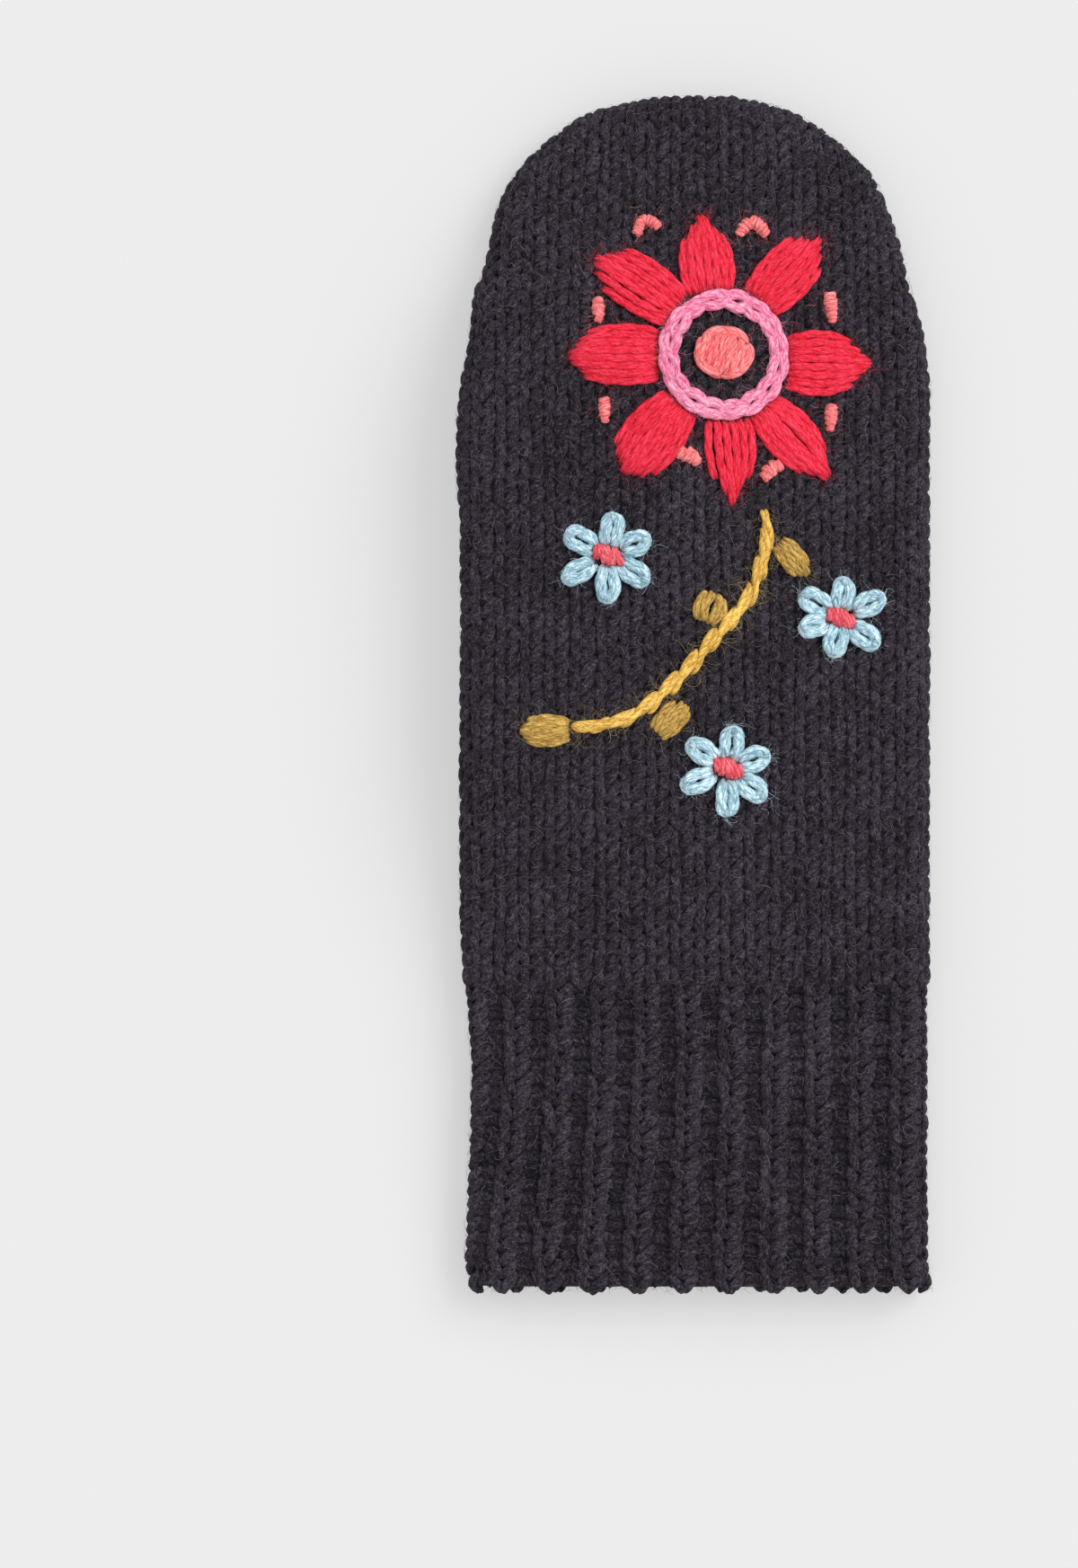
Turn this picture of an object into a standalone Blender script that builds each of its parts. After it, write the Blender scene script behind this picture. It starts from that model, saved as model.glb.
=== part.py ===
"""A wool mitten with a ribbed cuff and an embroidered back, lying on its palm with the thumb folded under it.

Metres, +Z up. The origin is on the floor under the middle of the mitten, +Y points to the fingertips,
and the thumb's side is at -X.
"""

import math

import bmesh
import bpy
from mathutils import Vector

# The mitten as it lies flat
LENGTH = 0.2645
WIDTH = 0.1048
CUFF_LENGTH = 0.067
TIP_LENGTH = 0.066
WALL = 0.0025
HAND_HOLLOW = 0.0062

# The ribbed cuff, knit columns with purl grooves between them
RIB_COUNT = 22
RIB_DEPTH = 0.0009
CUFF_WALL = 0.0024
CUFF_HOLLOW = 0.0048
SCALLOP = 0.0007

# The thumb, folded flat under the palm
THUMB_REACH = 0.127
THUMB_LENGTH = 0.077
THUMB_WIDTH = 0.042
THUMB_HOLLOW = 0.0048
THUMB_INSET = 0.0010

# How far past the thumb the palm and the back take to come down again
PALM_FADE = 0.020
BACK_FADE = 0.045
PALM_TIP_FADE = 0.024
BACK_TIP_FADE = 0.040

# Clearances
GAP = 0.0003
STITCH_GAP = 0.0004
STEP_RUN = 0.0006
HOLE_MARGIN = 0.0010
CUT_PAST = 0.005

# Sizes of the embroidery
RING_RADIUS = 0.0126
RING_BAND = 0.0046
RING_HEIGHT = 0.0018
CENTRE_WIDTH = 0.0138
CENTRE_DEPTH = 0.0120
CENTRE_RAISE = 0.0005
FLOWER_REACH = 0.0340
PETAL_WIDTH = 0.0120
PAD_HEIGHT = 0.0020
ACCENT_LENGTH = 0.0056
ACCENT_WIDTH = 0.0034
SMALL_RADIUS = 0.0096
SMALL_EYE = 0.0038
SMALL_HEIGHT = 0.0016
KNOT_LENGTH = 0.0062
KNOT_WIDTH = 0.0036
STEM_WIDTH = 0.0040
STEM_HEIGHT = 0.0022
SPRIG_SPREAD = 0.0437
SPRIG_DROP = 0.0484
SPRIG_GAP = 0.0010
SPRIG_ACROSS = 0.0102
LEAF_LENGTH = 0.0100

# Forms of the embroidery: how square a pad's sides are, the share of its dome that its base bulges down,
# how much wider its outer end is, and how deep and how sharp the notches between a small flower's petals are
PAD_FULLNESS = 0.8
PAD_BELLY = 0.2
PETAL_TAPER = 0.12
ACCENT_TAPER = 0.15
NOTCH_DEPTH = 0.45
NOTCH_SHARPNESS = 1.5
SMALL_PETALS = 6
KNOT_TURN = -15.0
LOWEST_PETAL = 5

# Where the large flower sits: shares of half the width and of the length from the mouth
FLOWER_ACROSS = 0.1137
FLOWER_ALONG = 0.7814

# How much of its height a rounded tip keeps at its very end, and the least share of a section's width
# that lies between its rounded sides
TIP_KEEPS = 0.02
ROUND_SHARE = 2.5

# Numbers of facets, and the row of the tip's outline from which each row is a section
EDGE_STEPS = 3
ACROSS_STEPS = 14
THUMB_ACROSS_STEPS = 4
BELOW_STEPS = 6
ABOVE_STEPS = 18
TIP_BEND_ROW = 5
RIB_STEPS = 5
BALL_ROWS = 5
RING_STEPS = 24
SMALL_RING_STEPS = 30
CENTRE_SIDES = 12
PETAL_SIDES = 10
SMALL_PAD_SIDES = 8
STEM_SIDES = 6
SHARP_ANGLE = 50.0

# Outlines seen from above: share of the stretch, then left and right edge as shares of half the width
CUFF_OUTLINE = (
    (0.00, 0.960, 1.015),
    (0.10, 0.977, 0.996),
    (0.45, 0.962, 0.994),
    (0.75, 0.955, 0.994),
    (1.00, 0.983, 0.994),
)
BODY_OUTLINE = (
    (0.00, 0.985, 0.994),
    (0.12, 0.998, 0.994),
    (0.78, 0.998, 0.994),
    (0.86, 1.014, 0.994),
    (0.94, 1.014, 0.996),
    (1.00, 1.000, 0.998),
)
TIP_OUTLINE = (
    (0.00, 1.000, 0.998),
    (0.20, 0.955, 0.966),
    (0.33, 0.937, 0.925),
    (0.49, 0.876, 0.872),
    (0.62, 0.842, 0.819),
    (0.73, 0.773, 0.757),
    (0.80, 0.697, 0.674),
    (0.87, 0.601, 0.578),
    (0.93, 0.490, 0.455),
    (0.97, 0.350, 0.340),
    (1.00, 0.150, 0.140),
)
# Thumb seen from above: share of its length, share of its width
THUMB_OUTLINE = (
    (0.00, 1.00),
    (0.30, 1.00),
    (0.60, 1.00),
    (0.76, 0.95),
    (0.87, 0.80),
    (0.95, 0.58),
    (1.00, 0.26),
)
# Petals: angles from +X of the base and of the tip in degrees, shares of FLOWER_REACH and of PETAL_WIDTH
PETALS = (
    (101.7, 98.9, 0.95, 0.98),
    (55.7, 48.6, 1.00, 0.95),
    (-6.3, -2.7, 0.99, 1.08),
    (-52.3, -48.8, 1.10, 0.90),
    (-85.5, -86.2, 0.98, 0.90),
    (-132.3, -130.2, 1.00, 1.00),
    (180.0, 180.0, 1.02, 1.02),
    (135.5, 141.9, 1.06, 0.95),
)
# Accents: angle from +X in degrees, shares of FLOWER_REACH, ACCENT_LENGTH and ACCENT_WIDTH, lie in degrees
ACCENTS = (
    (120.4, 0.99, 1.10, 1.20, 10.0),
    (76.9, 0.86, 1.40, 1.25, 0.0),
    (160.6, 0.86, 0.95, 0.85, 90.0),
    (24.2, 0.775, 1.20, 1.05, 90.0),
    (-155.0, 0.85, 0.95, 0.85, 90.0),
    (-29.7, 0.81, 1.00, 0.95, 90.0),
    (-108.9, 0.69, 0.95, 0.95, -30.0),
    (-67.7, 0.81, 0.95, 0.95, 40.0),
)
# The stem from its top: shares of SPRIG_SPREAD and SPRIG_DROP, share of STEM_WIDTH
STEM = (
    (0.000, 0.000, 0.50),
    (-0.009, -0.178, 0.55),
    (-0.059, -0.307, 0.70),
    (-0.132, -0.419, 0.85),
    (-0.231, -0.548, 0.95),
    (-0.325, -0.664, 1.00),
    (-0.439, -0.776, 1.00),
    (-0.585, -0.876, 1.00),
    (-0.717, -0.954, 0.95),
    (-0.863, -0.983, 0.90),
    (-1.000, -1.000, 0.80),
)
# Small flowers: shares of SPRIG_SPREAD and SPRIG_DROP from the stem's top, turn in degrees
SMALL_FLOWERS = (
    (-0.816, -0.205, 5.0),
    (0.362, -0.488, -10.0),
    (-0.216, -1.172, -15.0),
)
# Leaves: share along the stem, direction away from it and lie of the leaf in degrees from +X,
# shares of LEAF_LENGTH for half of the extent across that direction, the length and the width
LEAVES = (
    (0.10, -20.0, -50.0, 0.46, 1.04, 0.58),
    (0.365, 145.0, 75.0, 0.33, 0.76, 0.62),
    (0.69, -50.0, 42.0, 0.29, 0.94, 0.56),
    (1.00, 182.0, 180.0, 0.40, 1.08, 0.70),
)

MOUTH_Y = -LENGTH / 2
TOP_Y = LENGTH / 2
HAND_START_Y = MOUTH_Y + CUFF_LENGTH + GAP
TIP_START_Y = TOP_Y - TIP_LENGTH
CROTCH_Y = MOUTH_Y + THUMB_REACH
THUMB_TIP_Y = CROTCH_Y + THUMB_LENGTH
HAND_HEIGHT = HAND_HOLLOW + 2 * WALL
THUMB_HEIGHT = THUMB_HOLLOW + 2 * WALL
THUMB_LIFT = THUMB_HEIGHT + GAP
THUMB_LEFT_X = -WIDTH / 2 + THUMB_INSET
THUMB_RIGHT_X = THUMB_LEFT_X + THUMB_WIDTH
FADE_START_X = THUMB_RIGHT_X + THUMB_INSET
FADE_START_Y = THUMB_TIP_Y + THUMB_INSET
FLOWER_X = FLOWER_ACROSS * WIDTH / 2
FLOWER_Y = MOUTH_Y + FLOWER_ALONG * LENGTH


def clear_scene():
    for old in list(bpy.data.objects):
        bpy.data.objects.remove(old)


def new_collection(name, hidden):
    collection = bpy.data.collections.new(name)
    bpy.context.scene.collection.children.link(collection)
    collection.hide_render = hidden
    return collection


def wool(name, colour):
    """A rough dyed wool."""
    material = bpy.data.materials.new(name)
    material.use_nodes = True
    shader = material.node_tree.nodes["Principled BSDF"]
    shader.inputs["Base Color"].default_value = (*colour, 1.0)
    shader.inputs["Roughness"].default_value = 0.95
    shader.inputs["Metallic"].default_value = 0.0
    return material


def ease(value, start, end):
    """0 at start, 1 at end, smooth between them."""
    share = min(1.0, max(0.0, (value - start) / (end - start)))
    return share * share * (3.0 - 2.0 * share)


def along_rows(rows, share):
    """The columns after the first, read between the rows at this share."""
    for first, second in zip(rows, rows[1:]):
        if share <= second[0]:
            part = max(0.0, share - first[0]) / (second[0] - first[0])
            return [a + part * (b - a) for a, b in zip(first[1:], second[1:])]
    return list(rows[-1][1:])


def hand_edges(y, inset):
    """X of the left and right edge of the hand at y, moved in by inset."""
    half = WIDTH / 2 - inset
    if y > TIP_START_Y:
        left, right = along_rows(TIP_OUTLINE, (y - TIP_START_Y) / (TIP_LENGTH - inset))
    else:
        share = (y - HAND_START_Y) / (TIP_START_Y - HAND_START_Y)
        left, right = along_rows(BODY_OUTLINE, share)
    return -left * half, right * half


def over_thumb(x, y):
    """Height at which the palm passes over the thumb and comes down beyond it."""
    across = 1.0 - ease(x, FADE_START_X, FADE_START_X + PALM_FADE)
    along = 1.0 - ease(y, FADE_START_Y, FADE_START_Y + PALM_TIP_FADE)
    return THUMB_LIFT * across * along


def palm_lift(x, y, inset):
    """Height of the palm over the floor, on which it lies up to the crotch, where it steps up."""
    return 0.0 if y < CROTCH_Y - inset else over_thumb(x, y)


def back_lift(x, y):
    """Height that the thumb adds under the back of the hand."""
    across = 1.0 - ease(x, FADE_START_X, FADE_START_X + BACK_FADE)
    past_tip = 1.0 - ease(y, FADE_START_Y, FADE_START_Y + BACK_TIP_FADE)
    return THUMB_LIFT * across * past_tip * ease(y, HAND_START_Y, CROTCH_Y)


def back_height(x, y):
    """Height of the outer face of the back, away from the rounded edges."""
    return HAND_HEIGHT + back_lift(x, y)


def flat_section(y, left, right, radius, steps, heights_at, squeeze):
    """A flat loop with rounded sides, as (x, z) pairs from the left edge over the top and back below."""
    angles = [math.pi / 2 * n / EDGE_STEPS for n in range(EDGE_STEPS + 1)]
    radius = min(radius, (right - left) / ROUND_SHARE)
    sides = [(left + radius * (1 - math.cos(a)), math.sin(a)) for a in angles]
    inner_width = right - left - 2 * radius
    middles = [(left + radius + inner_width * n / steps, 1.0) for n in range(1, steps)]
    others = [(right - radius * (1 - math.cos(a)), math.sin(a)) for a in reversed(angles)]
    across = sides + middles + others
    top = []
    bottom = []
    for x, fullness in across:
        low, high = heights_at(x, y)
        middle = (high + low) / 2
        half = (high - low) / 2 * fullness * squeeze
        top.append((x, middle + half))
        bottom.append((x, middle - half))
    return top + bottom[-2:0:-1]


def tip_squeeze(distance, radius):
    """Share of the full height at this distance from the end of a rounded tip."""
    if distance >= radius:
        return 1.0
    return math.sqrt(max(TIP_KEEPS, 1.0 - (1.0 - distance / radius) ** 2))


def spaced(start, end, steps):
    """Evenly spaced places from start up to the last one before end."""
    return [start + (end - start) * n / steps for n in range(steps)]


def hand_stations(inset):
    """The places along Y where the hand has a section: below the crotch, above it and round the tip."""
    step_y = CROTCH_Y - inset
    tip = [TIP_START_Y + (TIP_LENGTH - inset) * row[0] for row in TIP_OUTLINE[TIP_BEND_ROW:]]
    below = spaced(HAND_START_Y, step_y - STEP_RUN, BELOW_STEPS) + [step_y - STEP_RUN]
    return below + spaced(step_y, tip[0], ABOVE_STEPS) + tip


def hand_rings(inset, start_y):
    """The sections of the hand's outer face, or of its hollow where inset is the wall."""

    def heights_at(x, y):
        return palm_lift(x, y, inset) + inset, back_height(x, y) - inset

    rings = []
    radius = HAND_HEIGHT / 2 - inset
    end_y = TOP_Y - inset
    for place, y in enumerate(hand_stations(inset)):
        left, right = hand_edges(y, inset)
        squeeze = tip_squeeze(end_y - y, radius)
        loop = flat_section(y, left, right, radius, ACROSS_STEPS, heights_at, squeeze)
        ring_y = start_y if place == 0 else y
        rings.append([Vector((x, ring_y, z)) for x, z in loop])
    return rings


def thumb_rings(inset, start_y):
    """The sections of the thumb's outer face, or of its hollow where inset is the wall."""

    def heights_at(x, y):
        return inset, THUMB_HEIGHT - inset

    rings = []
    radius = THUMB_HEIGHT / 2 - inset
    middle_x = (THUMB_LEFT_X + THUMB_RIGHT_X) / 2
    reach = THUMB_TIP_Y - CROTCH_Y - GAP - inset
    for place, row in enumerate(THUMB_OUTLINE):
        y = CROTCH_Y + GAP + row[0] * reach
        half = (THUMB_WIDTH / 2 - inset) * row[1]
        left, right = middle_x - half, middle_x + half
        squeeze = tip_squeeze(CROTCH_Y + GAP + reach - y, radius)
        loop = flat_section(y, left, right, radius, THUMB_ACROSS_STEPS, heights_at, squeeze)
        ring_y = start_y if place == 0 else y
        rings.append([Vector((x, ring_y, z)) for x, z in loop])
    return rings


def add_mesh_object(name, mesh, material, collection):
    piece = bpy.data.objects.new(name, mesh)
    collection.objects.link(piece)
    mesh.materials.append(material)
    mesh.shade_smooth()
    mesh.set_sharp_from_angle(angle=math.radians(SHARP_ANGLE))
    return piece


def loft(name, rings, material, collection, capped=True):
    """Faces between successive rings, with the two ends closed by flat faces."""
    shape = bmesh.new()
    rows = [[shape.verts.new(point) for point in ring] for ring in rings]
    count = len(rows[0])
    for near, far in zip(rows, rows[1:]):
        for n in range(count):
            after = (n + 1) % count
            shape.faces.new((near[n], near[after], far[after], far[n]))
    if capped:
        shape.faces.new(rows[0])
        shape.faces.new(rows[-1])
    bmesh.ops.recalc_face_normals(shape, faces=shape.faces)
    mesh = bpy.data.meshes.new(name)
    shape.to_mesh(mesh)
    shape.free()
    return add_mesh_object(name, mesh, material, collection)


def cut(piece, cutter, operation="DIFFERENCE"):
    cutter.hide_render = True
    cutter.display_type = "WIRE"
    boolean = piece.modifiers.new("cut_" + cutter.name, "BOOLEAN")
    boolean.operation = operation
    boolean.object = cutter


def add_box(name, low, high, material, collection):
    bpy.ops.mesh.primitive_cube_add(size=1.0)
    box = bpy.context.active_object
    box.name = name
    box.location = [(a + b) / 2 for a, b in zip(low, high)]
    box.scale = [b - a for a, b in zip(low, high)]
    move_to(box, collection)
    box.data.materials.append(material)
    return box


def move_to(piece, collection):
    for old in list(piece.users_collection):
        old.objects.unlink(piece)
    collection.objects.link(piece)


def upper_rings(shift):
    """Sections of all the space above the line that parts the back from the palm, moved off it by shift."""
    step_y = CROTCH_Y - WALL - shift
    end_y = TOP_Y + CUT_PAST
    rings = []
    for y in [HAND_START_Y - CUT_PAST, step_y - STEP_RUN] + spaced(step_y, end_y, ABOVE_STEPS) + [end_y]:
        points = []
        for x in spaced(-WIDTH, WIDTH, 2 * ACROSS_STEPS) + [WIDTH]:
            lift = over_thumb(x, y) if y >= step_y else 0.0
            points.append(Vector((x, y, lift + HAND_HEIGHT / 2 + shift)))
        ceiling = HAND_HEIGHT + THUMB_LIFT + CUT_PAST
        points += [Vector((WIDTH, y, ceiling)), Vector((-WIDTH, y, ceiling))]
        rings.append(points)
    return rings


def make_back_and_palm(material, parts, cutters):
    """The hand is one knitted pouch, parted along its two side edges into its back and its palm."""
    hollow = loft("hand_hollow", hand_rings(WALL, HAND_START_Y - CUT_PAST), material, cutters)
    hole = add_box(
        "thumb_hole",
        (THUMB_LEFT_X + WALL + HOLE_MARGIN, CROTCH_Y - WALL - CUT_PAST, WALL),
        (THUMB_RIGHT_X - WALL - HOLE_MARGIN, CROTCH_Y + WALL, WALL + THUMB_HOLLOW),
        material,
        cutters,
    )
    back = loft("hand_back", hand_rings(0.0, HAND_START_Y), material, parts)
    cut(back, hollow)
    cut(back, loft("space_of_back", upper_rings(GAP / 2), material, cutters), "INTERSECT")
    palm = loft("palm", hand_rings(0.0, HAND_START_Y), material, parts)
    cut(palm, hollow)
    cut(palm, hole)
    cut(palm, loft("space_over_palm", upper_rings(-GAP / 2), material, cutters))
    return back, palm


def make_thumb(material, parts, cutters):
    thumb = loft("thumb", thumb_rings(0.0, CROTCH_Y + GAP), material, parts)
    hollow = loft("thumb_hollow", thumb_rings(WALL, CROTCH_Y - CUT_PAST), material, cutters)
    cut(thumb, hollow)
    return thumb


def rib_point(share, left, right):
    """A point (x, z) and its outward direction on the flat loop in the middle of the cuff's wall."""
    half_height = CUFF_HOLLOW / 2 + (CUFF_WALL + RIB_DEPTH) / 2
    middle_z = CUFF_HOLLOW / 2 + CUFF_WALL + RIB_DEPTH
    straight = right - left - 2 * half_height
    bend = math.pi * half_height
    way = (share % 1.0) * 2 * (straight + bend)
    if way < straight:
        return right - half_height - way, middle_z + half_height, 0.0, 1.0
    way -= straight
    if way < bend:
        angle = math.pi / 2 + way / half_height
        x, z = math.cos(angle), math.sin(angle)
        return left + half_height + x * half_height, middle_z + z * half_height, x, z
    way -= bend
    if way < straight:
        return left + half_height + way, middle_z - half_height, 0.0, -1.0
    way -= straight
    angle = -math.pi / 2 + way / half_height
    x, z = math.cos(angle), math.sin(angle)
    return right - half_height + x * half_height, middle_z + z * half_height, x, z


def make_cuff(material, parts):
    """An open corrugated tube, thickened: the knit columns stand out, the purl columns stand in."""
    edge = RIB_DEPTH / 2 + CUFF_WALL / 2
    rings = []
    for reach, left, right in CUFF_OUTLINE:
        ring = []
        for n in range(RIB_COUNT * RIB_STEPS):
            share = n / (RIB_COUNT * RIB_STEPS)
            wave = math.cos(2 * math.pi * (n / RIB_STEPS))
            x, z, out_x, out_z = rib_point(share, -left * WIDTH / 2 + edge, right * WIDTH / 2 - edge)
            push = RIB_DEPTH / 2 * wave
            hem = SCALLOP * (1.0 - wave) / 2 if reach == 0 else 0.0
            y = MOUTH_Y + reach * CUFF_LENGTH + hem
            ring.append(Vector((x + out_x * push, y, z + out_z * push)))
        rings.append(ring)
    cuff = loft("ribbed_cuff", rings, material, parts, capped=False)
    wall = cuff.modifiers.new("wall", "SOLIDIFY")
    wall.thickness = CUFF_WALL
    wall.offset = 0.0
    return cuff


def lay_on_back(piece, x, y, turn, parent):
    """Bends a piece modelled flat, with its base at z = 0, onto the back of the hand at x, y."""
    base_z = back_height(x, y) + STITCH_GAP
    cosine, sine = math.cos(turn), math.sin(turn)
    for vertex in piece.data.vertices:
        flat = vertex.co.copy()
        across = flat.x * cosine - flat.y * sine
        along = flat.x * sine + flat.y * cosine
        rise = back_height(x + across, y + along) + STITCH_GAP - base_z
        vertex.co = Vector((across, along, flat.z + rise))
    piece.location = (x, y, base_z)
    piece.parent = parent


def add_pad(name, length, width, height, sides, taper, material, collection):
    """A pad of laid stitches: a flattened ball with a nearly flat base, wider to +X if tapered."""
    shape = bmesh.new()
    bmesh.ops.create_uvsphere(shape, u_segments=sides, v_segments=BALL_ROWS, radius=1.0)
    for vertex in shape.verts:
        x, y, z = vertex.co
        z = z if z > 0 else PAD_BELLY * z
        y = math.copysign(abs(y) ** PAD_FULLNESS, y) * (1.0 + taper * x)
        vertex.co = Vector((x * length / 2, y * width / 2, (z + PAD_BELLY) * height / (1 + PAD_BELLY)))
    mesh = bpy.data.meshes.new(name)
    shape.to_mesh(mesh)
    shape.free()
    return add_mesh_object(name, mesh, material, collection)


def add_ring(name, radius, band, height, around, lobes, material, collection):
    """A flattened ring of stitches. Lobes swell its outer side into petals."""
    bpy.ops.mesh.primitive_torus_add(
        major_radius=radius, minor_radius=band / 2, major_segments=around, minor_segments=BALL_ROWS
    )
    ring = bpy.context.active_object
    ring.name = name
    inner = radius - band / 2
    for vertex in ring.data.vertices:
        x, y, z = vertex.co
        distance = math.hypot(x, y)
        notch = abs(math.sin(lobes * math.atan2(y, x) / 2)) ** NOTCH_SHARPNESS
        reach = inner + (distance - inner) * (1.0 - NOTCH_DEPTH * notch)
        vertex.co = Vector((x * reach / distance, y * reach / distance, (z / band + 0.5) * height))
    move_to(ring, collection)
    ring.data.materials.append(material)
    ring.data.shade_smooth()
    return ring


def make_ring_and_centre(materials, parts, parent):
    ring = add_ring(
        "flower_ring", RING_RADIUS, RING_BAND, RING_HEIGHT, RING_STEPS, 0, materials["pink"], parts
    )
    lay_on_back(ring, FLOWER_X, FLOWER_Y, 0.0, parent)
    centre = add_pad(
        "flower_centre", CENTRE_WIDTH, CENTRE_DEPTH, PAD_HEIGHT, CENTRE_SIDES, 0.0, materials["coral"], parts
    )
    lay_on_back(centre, FLOWER_X, FLOWER_Y + CENTRE_RAISE, 0.0, parent)


def make_petals(materials, parts, parent):
    start = RING_RADIUS + RING_BAND / 2 + GAP
    for number, (base_angle, tip_angle, reach, width) in enumerate(PETALS, 1):
        base = Vector((math.cos(math.radians(base_angle)), math.sin(math.radians(base_angle)))) * start
        tip = Vector((math.cos(math.radians(tip_angle)), math.sin(math.radians(tip_angle))))
        tip = tip * FLOWER_REACH * reach
        axis = tip - base
        petal = add_pad(
            f"petal_{number}",
            axis.length,
            PETAL_WIDTH * width,
            PAD_HEIGHT,
            PETAL_SIDES,
            PETAL_TAPER,
            materials["red"],
            parts,
        )
        middle = (base + tip) / 2
        turn = math.atan2(axis.y, axis.x)
        lay_on_back(petal, FLOWER_X + middle.x, FLOWER_Y + middle.y, turn, parent)


def make_accents(materials, parts, parent):
    for number, (angle, reach, length, width, lie) in enumerate(ACCENTS, 1):
        direction = math.radians(angle)
        away = FLOWER_REACH * reach
        accent = add_pad(
            f"accent_{number}",
            ACCENT_LENGTH * length,
            ACCENT_WIDTH * width,
            PAD_HEIGHT,
            SMALL_PAD_SIDES,
            ACCENT_TAPER,
            materials["coral"],
            parts,
        )
        x = FLOWER_X + math.cos(direction) * away
        y = FLOWER_Y + math.sin(direction) * away
        lay_on_back(accent, x, y, math.radians(lie), parent)


def sprig_place(across, down):
    """A place in the sprig, whose top is just below and to the right of the lowest petal's tip."""
    _, _, reach, _ = PETALS[LOWEST_PETAL - 1]
    lowest = FLOWER_REACH * reach
    start = Vector((FLOWER_X + SPRIG_ACROSS, FLOWER_Y - lowest - SPRIG_GAP))
    return start + Vector((across * SPRIG_SPREAD, down * SPRIG_DROP))


def stem_at(share):
    """Centre point, direction and width of the stem at this share of its way."""
    place = share * (len(STEM) - 1)
    first = min(int(place), len(STEM) - 2)
    part = place - first
    a = sprig_place(*STEM[first][:2])
    b = sprig_place(*STEM[first + 1][:2])
    width = STEM[first][2] + part * (STEM[first + 1][2] - STEM[first][2])
    return a.lerp(b, part), (b - a).normalized(), width * STEM_WIDTH


def make_stem(materials, parts, parent):
    """A flattened rope along the stem's points."""
    rings = []
    origin, _, _ = stem_at(0.0)
    steps = len(STEM) - 1
    for n in range(steps + 1):
        point, _, width = stem_at(n / steps)
        before, _, _ = stem_at(max(0.0, (n - 0.5) / steps))
        after, _, _ = stem_at(min(1.0, (n + 0.5) / steps))
        direction = (after - before).normalized()
        side = Vector((direction.y, -direction.x))
        ring = []
        for corner in range(STEM_SIDES):
            angle = 2 * math.pi * (corner + 0.5) / STEM_SIDES
            spot = point - origin + side * math.cos(angle) * width / 2
            ring.append(Vector((spot.x, spot.y, (math.sin(angle) + 1) / 2 * STEM_HEIGHT)))
        rings.append(ring)
    stem = loft("stem", rings, materials["ochre"], parts)
    lay_on_back(stem, origin.x, origin.y, 0.0, parent)


def make_leaves(materials, parts, parent):
    for number, (share, away, lie, extent, length, width) in enumerate(LEAVES, 1):
        point, _, stem_width = stem_at(share)
        distance = stem_width / 2 + GAP + extent * LEAF_LENGTH
        direction = Vector((math.cos(math.radians(away)), math.sin(math.radians(away))))
        place = point + direction * distance
        leaf = add_pad(
            f"leaf_{number}",
            LEAF_LENGTH * length,
            LEAF_LENGTH * width,
            PAD_HEIGHT,
            SMALL_PAD_SIDES,
            0.0,
            materials["olive"],
            parts,
        )
        lay_on_back(leaf, place.x, place.y, math.radians(lie), parent)


def make_small_flowers(materials, parts, parent):
    band = SMALL_RADIUS - SMALL_EYE
    middle = SMALL_EYE + band / 2
    for number, (across, down, turn) in enumerate(SMALL_FLOWERS, 1):
        place = sprig_place(across, down)
        flower = add_ring(
            f"small_flower_{number}",
            middle,
            band,
            SMALL_HEIGHT,
            SMALL_RING_STEPS,
            SMALL_PETALS,
            materials["blue"],
            parts,
        )
        lay_on_back(flower, place.x, place.y, math.radians(turn), parent)
        knot = add_pad(
            f"small_knot_{number}",
            KNOT_LENGTH,
            KNOT_WIDTH,
            PAD_HEIGHT,
            SMALL_PAD_SIDES,
            0.0,
            materials["coral"],
            parts,
        )
        lay_on_back(knot, place.x, place.y, math.radians(turn + KNOT_TURN), parent)


def main():
    clear_scene()
    parts = new_collection("wool_mitten", hidden=False)
    cutters = new_collection("cutters", hidden=True)
    parent = bpy.data.objects.new("mitten", None)
    parts.objects.link(parent)
    knit = wool("charcoal_wool", (0.033, 0.027, 0.034))
    materials = {
        "red": wool("red_wool", (0.86, 0.03, 0.065)),
        "pink": wool("pink_wool", (0.86, 0.22, 0.36)),
        "coral": wool("coral_wool", (0.94, 0.19, 0.20)),
        "blue": wool("pale_blue_wool", (0.56, 0.70, 0.77)),
        "ochre": wool("ochre_wool", (0.68, 0.40, 0.085)),
        "olive": wool("olive_ochre_wool", (0.53, 0.33, 0.11)),
    }
    for piece in (
        *make_back_and_palm(knit, parts, cutters),
        make_thumb(knit, parts, cutters),
        make_cuff(knit, parts),
    ):
        piece.parent = parent
    make_ring_and_centre(materials, parts, parent)
    make_petals(materials, parts, parent)
    make_accents(materials, parts, parent)
    make_stem(materials, parts, parent)
    make_leaves(materials, parts, parent)
    make_small_flowers(materials, parts, parent)


main()
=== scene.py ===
import math

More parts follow.
